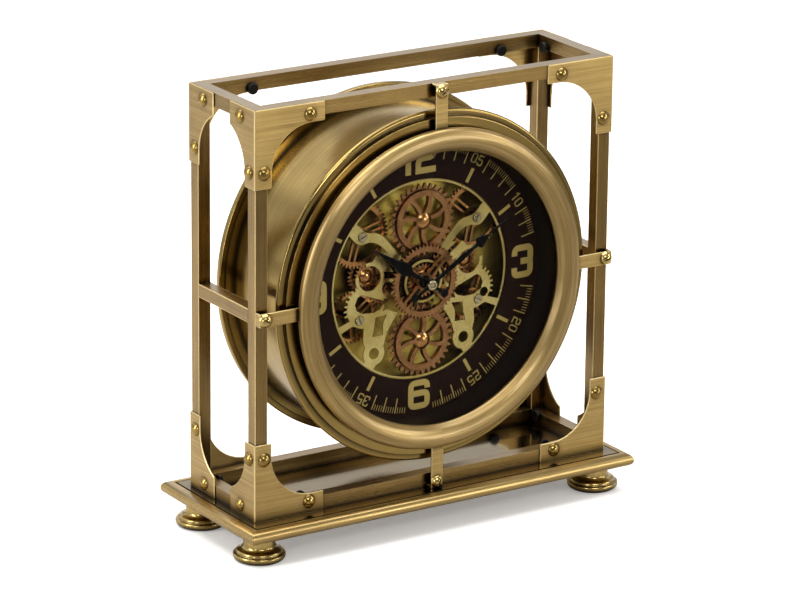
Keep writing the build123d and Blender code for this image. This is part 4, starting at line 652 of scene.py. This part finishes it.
# Gears: where the axis of each stands on the dial, the radius of its polished hub, and the depth in front of
# which the hub's faces are polished, all in millimetres
gearEdges = {"width": 0.14}
gearHubs = {
    "top_gear": (0.0, 44.8, 5.4, -28.2), "bottom_gear": (0.0, -44.8, 5.4, -28.2),
    "idler_gear_left": (-26.86, -2.73, 4.6, -10.0), "idler_gear_right": (26.86, -2.73, 4.6, -10.0),
    "centre_pinion": (0.0, 0.0, 8.0, -20.0),
    "relay_gear_left": (-42.01, 7.0, 6.2, -10.0), "relay_gear_right": (42.01, 7.0, 6.2, -10.0),
    "upper_gear_left": (-48.49, 38.85, 5.2, -10.0), "upper_gear_right": (48.49, 38.85, 5.2, -10.0),
    "lower_gear_left": (-50.55, -22.80, 5.2, -10.0), "lower_gear_right": (50.55, -22.80, 5.2, -10.0),
}
for node in frame["nodes"]:
    if node in gearHubs:
        across, up, radius, front = gearHubs[node]
        hub = {"axis": dialCentre + Vector((across * mm, 0.0, up * mm)), "radius": radius, "front": front}
        refineNode(node, finish("copperWash"), finish("polishedHub"), hub=hub, **gearEdges)
    elif slotOfNode[node] == "copper":
        refineNode(node, finish("copperWash"), **gearEdges)
dressNodes({
    "centre_drive_gear": (("darkBronze",), gearEdges),
    "centre_arc_ring": (("stampedPlateBrass",), {"width": 0.12}),
})
print("dial and gears finished")


degreesPerHour = 30
degreesPerMinute = 6

# Dial print in millimetres. A glyph is a list of strokes, each a list of corners: x and y in shares of the half
# width and half height, and how much of the corner is cut round, in stroke widths. The cut limit is the share of
# a side that a cut may take, and the mitre limit stops a sharp corner from growing long.
dialPrint = {
    "rootDepth": -24.58,
    "faceDepth": -24.70,
    "cornerSteps": 6,
    "strokeStep": 0.02,
    "cutLimit": 0.98,
    "mitreLimit": 0.5,
    "batons": {"hours": (1, 2, 4, 5, 7, 8, 10, 11), "reach": (76.9, 87.9), "width": 2.6},
    "longTicks": {"reach": (88.6, 99.6), "width": 0.85},
    "fineTicks": {"reach": (95.2, 99.6), "width": 0.42, "perMinute": 5, "besideSix": (28, 31)},
    "minuteFigures": {"radius": 95.1, "half": (1.95, 3.45), "width": 1.05, "step": 5.9},
    "hourFigures": {
        "12": {"at": (-0.4, 89.6), "half": ((0.01, 8.9), (6.6, 8.6)), "width": 4.6, "offsets": (-10.9, 4.1)},
        "3": {"at": (88.0, 0.0), "half": ((6.9, 10.2),), "width": 4.8, "offsets": (0.0,)},
        "6": {"at": (0.0, -86.6), "half": ((7.0, 8.8),), "width": 4.6, "offsets": (0.0,)},
        "9": {"at": (-88.0, 0.0), "half": ((6.9, 10.2),), "width": 4.8, "offsets": (0.0,)},
    },
    "plainOne": [[(0, -1.2, 0), (0, 1.2, 0)]],
}
glyphs = {
    "0": [[(-1, 0, 0), (-1, 1, 1.9), (1, 1, 1.9), (1, -1, 1.9), (-1, -1, 1.9), (-1, 0, 0)]],
    "1": [[(-0.6, 0.55, 0), (0.4, 1.05, 0), (0.4, -1.1, 0)]],
    "2": [[(1.25, -1, 0), (-1, -1, 0), (-1, 0.05, 1), (1, 0.05, 1), (1, 1, 1), (-1, 1, 1), (-1, 0.5, 0)]],
    "3": [[(-1, 0.43, 0), (-1, 1, 0.85), (1, 1, 0.7), (1, 0, 0.5), (-0.22, 0, 0)],
          [(0.2, 0, 0), (1, 0, 0.5), (1, -1, 0.85), (-1, -1, 0.7), (-1, -0.43, 0)]],
    "4": [[(0.4, -1.15, 0), (0.4, 1.1, 0)], [(0.4, 1.1, 0), (-1, -0.5, 0), (1.2, -0.5, 0)]],
    "5": [[(1, 1, 0), (-0.9, 1, 0), (-0.9, 0.1, 0), (1, 0.25, 1.2), (1, -1, 1.2), (-1, -1, 1.2), (-1, -0.6, 0)]],
    "6": [[(1, 0.46, 0), (1, 1, 0.8), (-1, 1, 0.8), (-1, -1, 0.8), (1, -1, 0.8), (1, 0.1, 0.8), (-0.66, 0.1, 0)]],
}
glyphs["9"] = [[(-x, -y, cut) for x, y, cut in stroke] for stroke in glyphs["6"]]


def softPath(corners, half, width, steps):
    # A path through corners, some of them cut round
    spots = [Vector((x * half[0], y * half[1])) for x, y, cut in corners]
    points = []
    for index, (spot, corner) in enumerate(zip(spots, corners)):
        if corner[2] == 0:
            points.append(spot)
            continue
        before = spots[index - 1] - spot
        after = spots[index + 1] - spot
        cut = min(corner[2] * width, min(before.length, after.length) * dialPrint["cutLimit"])
        start, end = spot + before.normalized() * cut, spot + after.normalized() * cut
        for step in range(steps + 1):
            share = step / steps
            points.append(start.lerp(spot, share).lerp(spot.lerp(end, share), share))
    return points


def addStroke(shape, points, width, place):
    # A band of even width along points; place turns millimetres on the dial into metres in the scene
    last = len(points) - 1
    rim = []
    for index, point in enumerate(points):
        ahead = (points[min(index + 1, last)] - points[max(min(index, last - 1), 0)]).normalized()
        behind = (points[max(index, 1)] - points[max(index - 1, 0)]).normalized()
        along = (ahead + behind).normalized()
        side = Vector((-along.y, along.x)) * (width / 2 / max(along.dot(ahead), dialPrint["mitreLimit"]))
        rim.append([shape.verts.new(place @ Vector((spot.x * mm, 0.0, spot.y * mm)))
                    for spot in (point + side, point - side)])
    return [shape.faces.new((near[0], near[1], far[1], far[0])) for near, far in zip(rim, rim[1:])]


def printDial(dial):
    shape = bmesh.new()
    root = Matrix.Translation(dialCentre + Vector((0.0, dial["rootDepth"] * mm, 0.0)))
    faces = []

    def addBar(degrees, reach, width):
        turn = root @ Matrix.Rotation(math.radians(degrees), 4, "Y")
        faces.extend(addStroke(shape, [Vector((0.0, reach[0])), Vector((0.0, reach[1]))], width, turn))

    def addGlyph(strokes, half, width, place):
        # Each stroke is a little deeper than the last, so that no two faces lie in one plane
        for index, stroke in enumerate(strokes):
            deeper = place @ Matrix.Translation((0.0, index * dial["strokeStep"] * mm, 0.0))
            faces.extend(addStroke(shape, softPath(stroke, half, width, dial["cornerSteps"]), width, deeper))

    for hour in dial["batons"]["hours"]:
        addBar(hour * degreesPerHour, dial["batons"]["reach"], dial["batons"]["width"])
    fine = dial["fineTicks"]
    for minute in range(60):
        # Each quarter hour leaves room for its figure, and every fifth minute has a small one
        nearQuarter = min(minute % 15, 15 - minute % 15)
        if minute % 5 and nearQuarter > 1:
            addBar(minute * degreesPerMinute, dial["longTicks"]["reach"], dial["longTicks"]["width"])
        besideFigure = minute % 15 in (1, 13) and minute not in fine["besideSix"]
        if minute % 5 in (1, 2, 3) and not besideFigure:
            for part in range(1, fine["perMinute"]):
                addBar((minute + part / fine["perMinute"]) * degreesPerMinute, fine["reach"], fine["width"])
        if minute % 5 == 0 and minute % 15:
            figures = dial["minuteFigures"]
            turn = root @ Matrix.Rotation(math.radians(minute * degreesPerMinute), 4, "Y")
            for place, digit in enumerate(format(minute, "02d")):
                spot = Vector(((place - 0.5) * figures["step"] * mm, 0.0, figures["radius"] * mm))
                addGlyph(glyphs[digit], figures["half"], figures["width"], turn @ Matrix.Translation(spot))
    for word, figure in dial["hourFigures"].items():
        for digit, half, offset in zip(word, figure["half"], figure["offsets"]):
            spot = Vector(((figure["at"][0] + offset) * mm, 0.0, figure["at"][1] * mm))
            strokes = dial["plainOne"] if digit == "1" else glyphs[digit]
            addGlyph(strokes, half, figure["width"], root @ Matrix.Translation(spot))
    raised = bmesh.ops.extrude_face_region(shape, geom=faces)
    verts = [item for item in raised["geom"] if isinstance(item, bmesh.types.BMVert)]
    bmesh.ops.translate(shape, verts=verts, vec=(0.0, (dial["faceDepth"] - dial["rootDepth"]) * mm, 0.0))
    bmesh.ops.recalc_face_normals(shape, faces=shape.faces)
    addPiece("dialPrint", shape, [finish("goldInk")], "dial_ring")


printDial(dialPrint)
print("dial printed")

# Hands, movement and the parts behind
handEdges = {"edgeSurface": finish("handRimPaintedSheen"), "width": 0.16, "segments": 2}
worksDress = {
    "minute_hand": (("handLacquer",), handEdges),
    "hour_hand": (("handLacquer",), handEdges),
    "hand_cap": (("paleNickel",), {"width": 0.1}),
    "minute_shaft": (("stampedPlateBrass",), None),
    "hour_pipe": (("stampedPlateBrass",), None),
    "movement": (("blackAbs",), {"width": 0.3}),
    "set_knob": (("blackAbs",), {"width": 0.25}),
    "battery_cover": (("blackAbs",), {"width": 0.3}),
    "power_switch": (("blackAbs",), {"width": 0.2}),
    "battery_box": (("blackAbs",), {"width": 0.2}),
    "batteries": (("batteryWrap",), None),
    "gear_motor": (("brightSteel",), None),
}
dressNodes(worksDress)
print("hands and works finished")


# Floor of pale paper. To every ray but the camera's it is darker, most in front: painted shade, which the metal
# above mirrors darker than it is. To the camera it is pale and glows a little, evenly.
paperFloor = {"seen": "#F6F5F3", "front": "#7A756E", "back": "#D0CCC5", "reach": (-0.6, 0.5), "size": 14.0,
              "roughness": 0.75, "glow": 0.25}


def makeFloor(floor):
    shape = bmesh.new()
    bmesh.ops.create_grid(shape, x_segments=1, y_segments=1, size=floor["size"] / 2)
    mesh = bpy.data.meshes.new("paperFloor")
    shape.to_mesh(mesh)
    shape.free()
    material, tree, shader = newMaterial("seamlessPaper")
    seen = addNode(tree, "ShaderNodeLightPath").outputs["Is Camera Ray"]
    depth = addNode(tree, "ShaderNodeSeparateXYZ", None,
                    {"Vector": addNode(tree, "ShaderNodeTexCoord").outputs["Object"]}).outputs["Y"]
    # Painted shade: darker in front, seen only in reflections and bounced light
    away = mapTo(tree, depth, floor["reach"], curve="SMOOTHSTEP")
    paintedShadeMirrored = blend(tree, "RGBA", away, hexColour(floor["front"]), hexColour(floor["back"]))
    colour = blend(tree, "RGBA", seen, paintedShadeMirrored, hexColour(floor["seen"]))
    glow = addNode(tree, "ShaderNodeMath", {"operation": "MULTIPLY"}, {0: seen, 1: floor["glow"]}).outputs["Value"]
    tree.links.new(colour, shader.inputs["Base Color"])
    tree.links.new(glow, shader.inputs["Emission Strength"])
    shader.inputs["Emission Color"].default_value = hexColour(floor["seen"])
    shader.inputs["Roughness"].default_value = floor["roughness"]
    mesh.materials.append(material)
    sheet = bpy.data.objects.new("paperFloor", mesh)
    bpy.context.scene.collection.objects.link(sheet)


makeFloor(paperFloor)
print("floor laid")
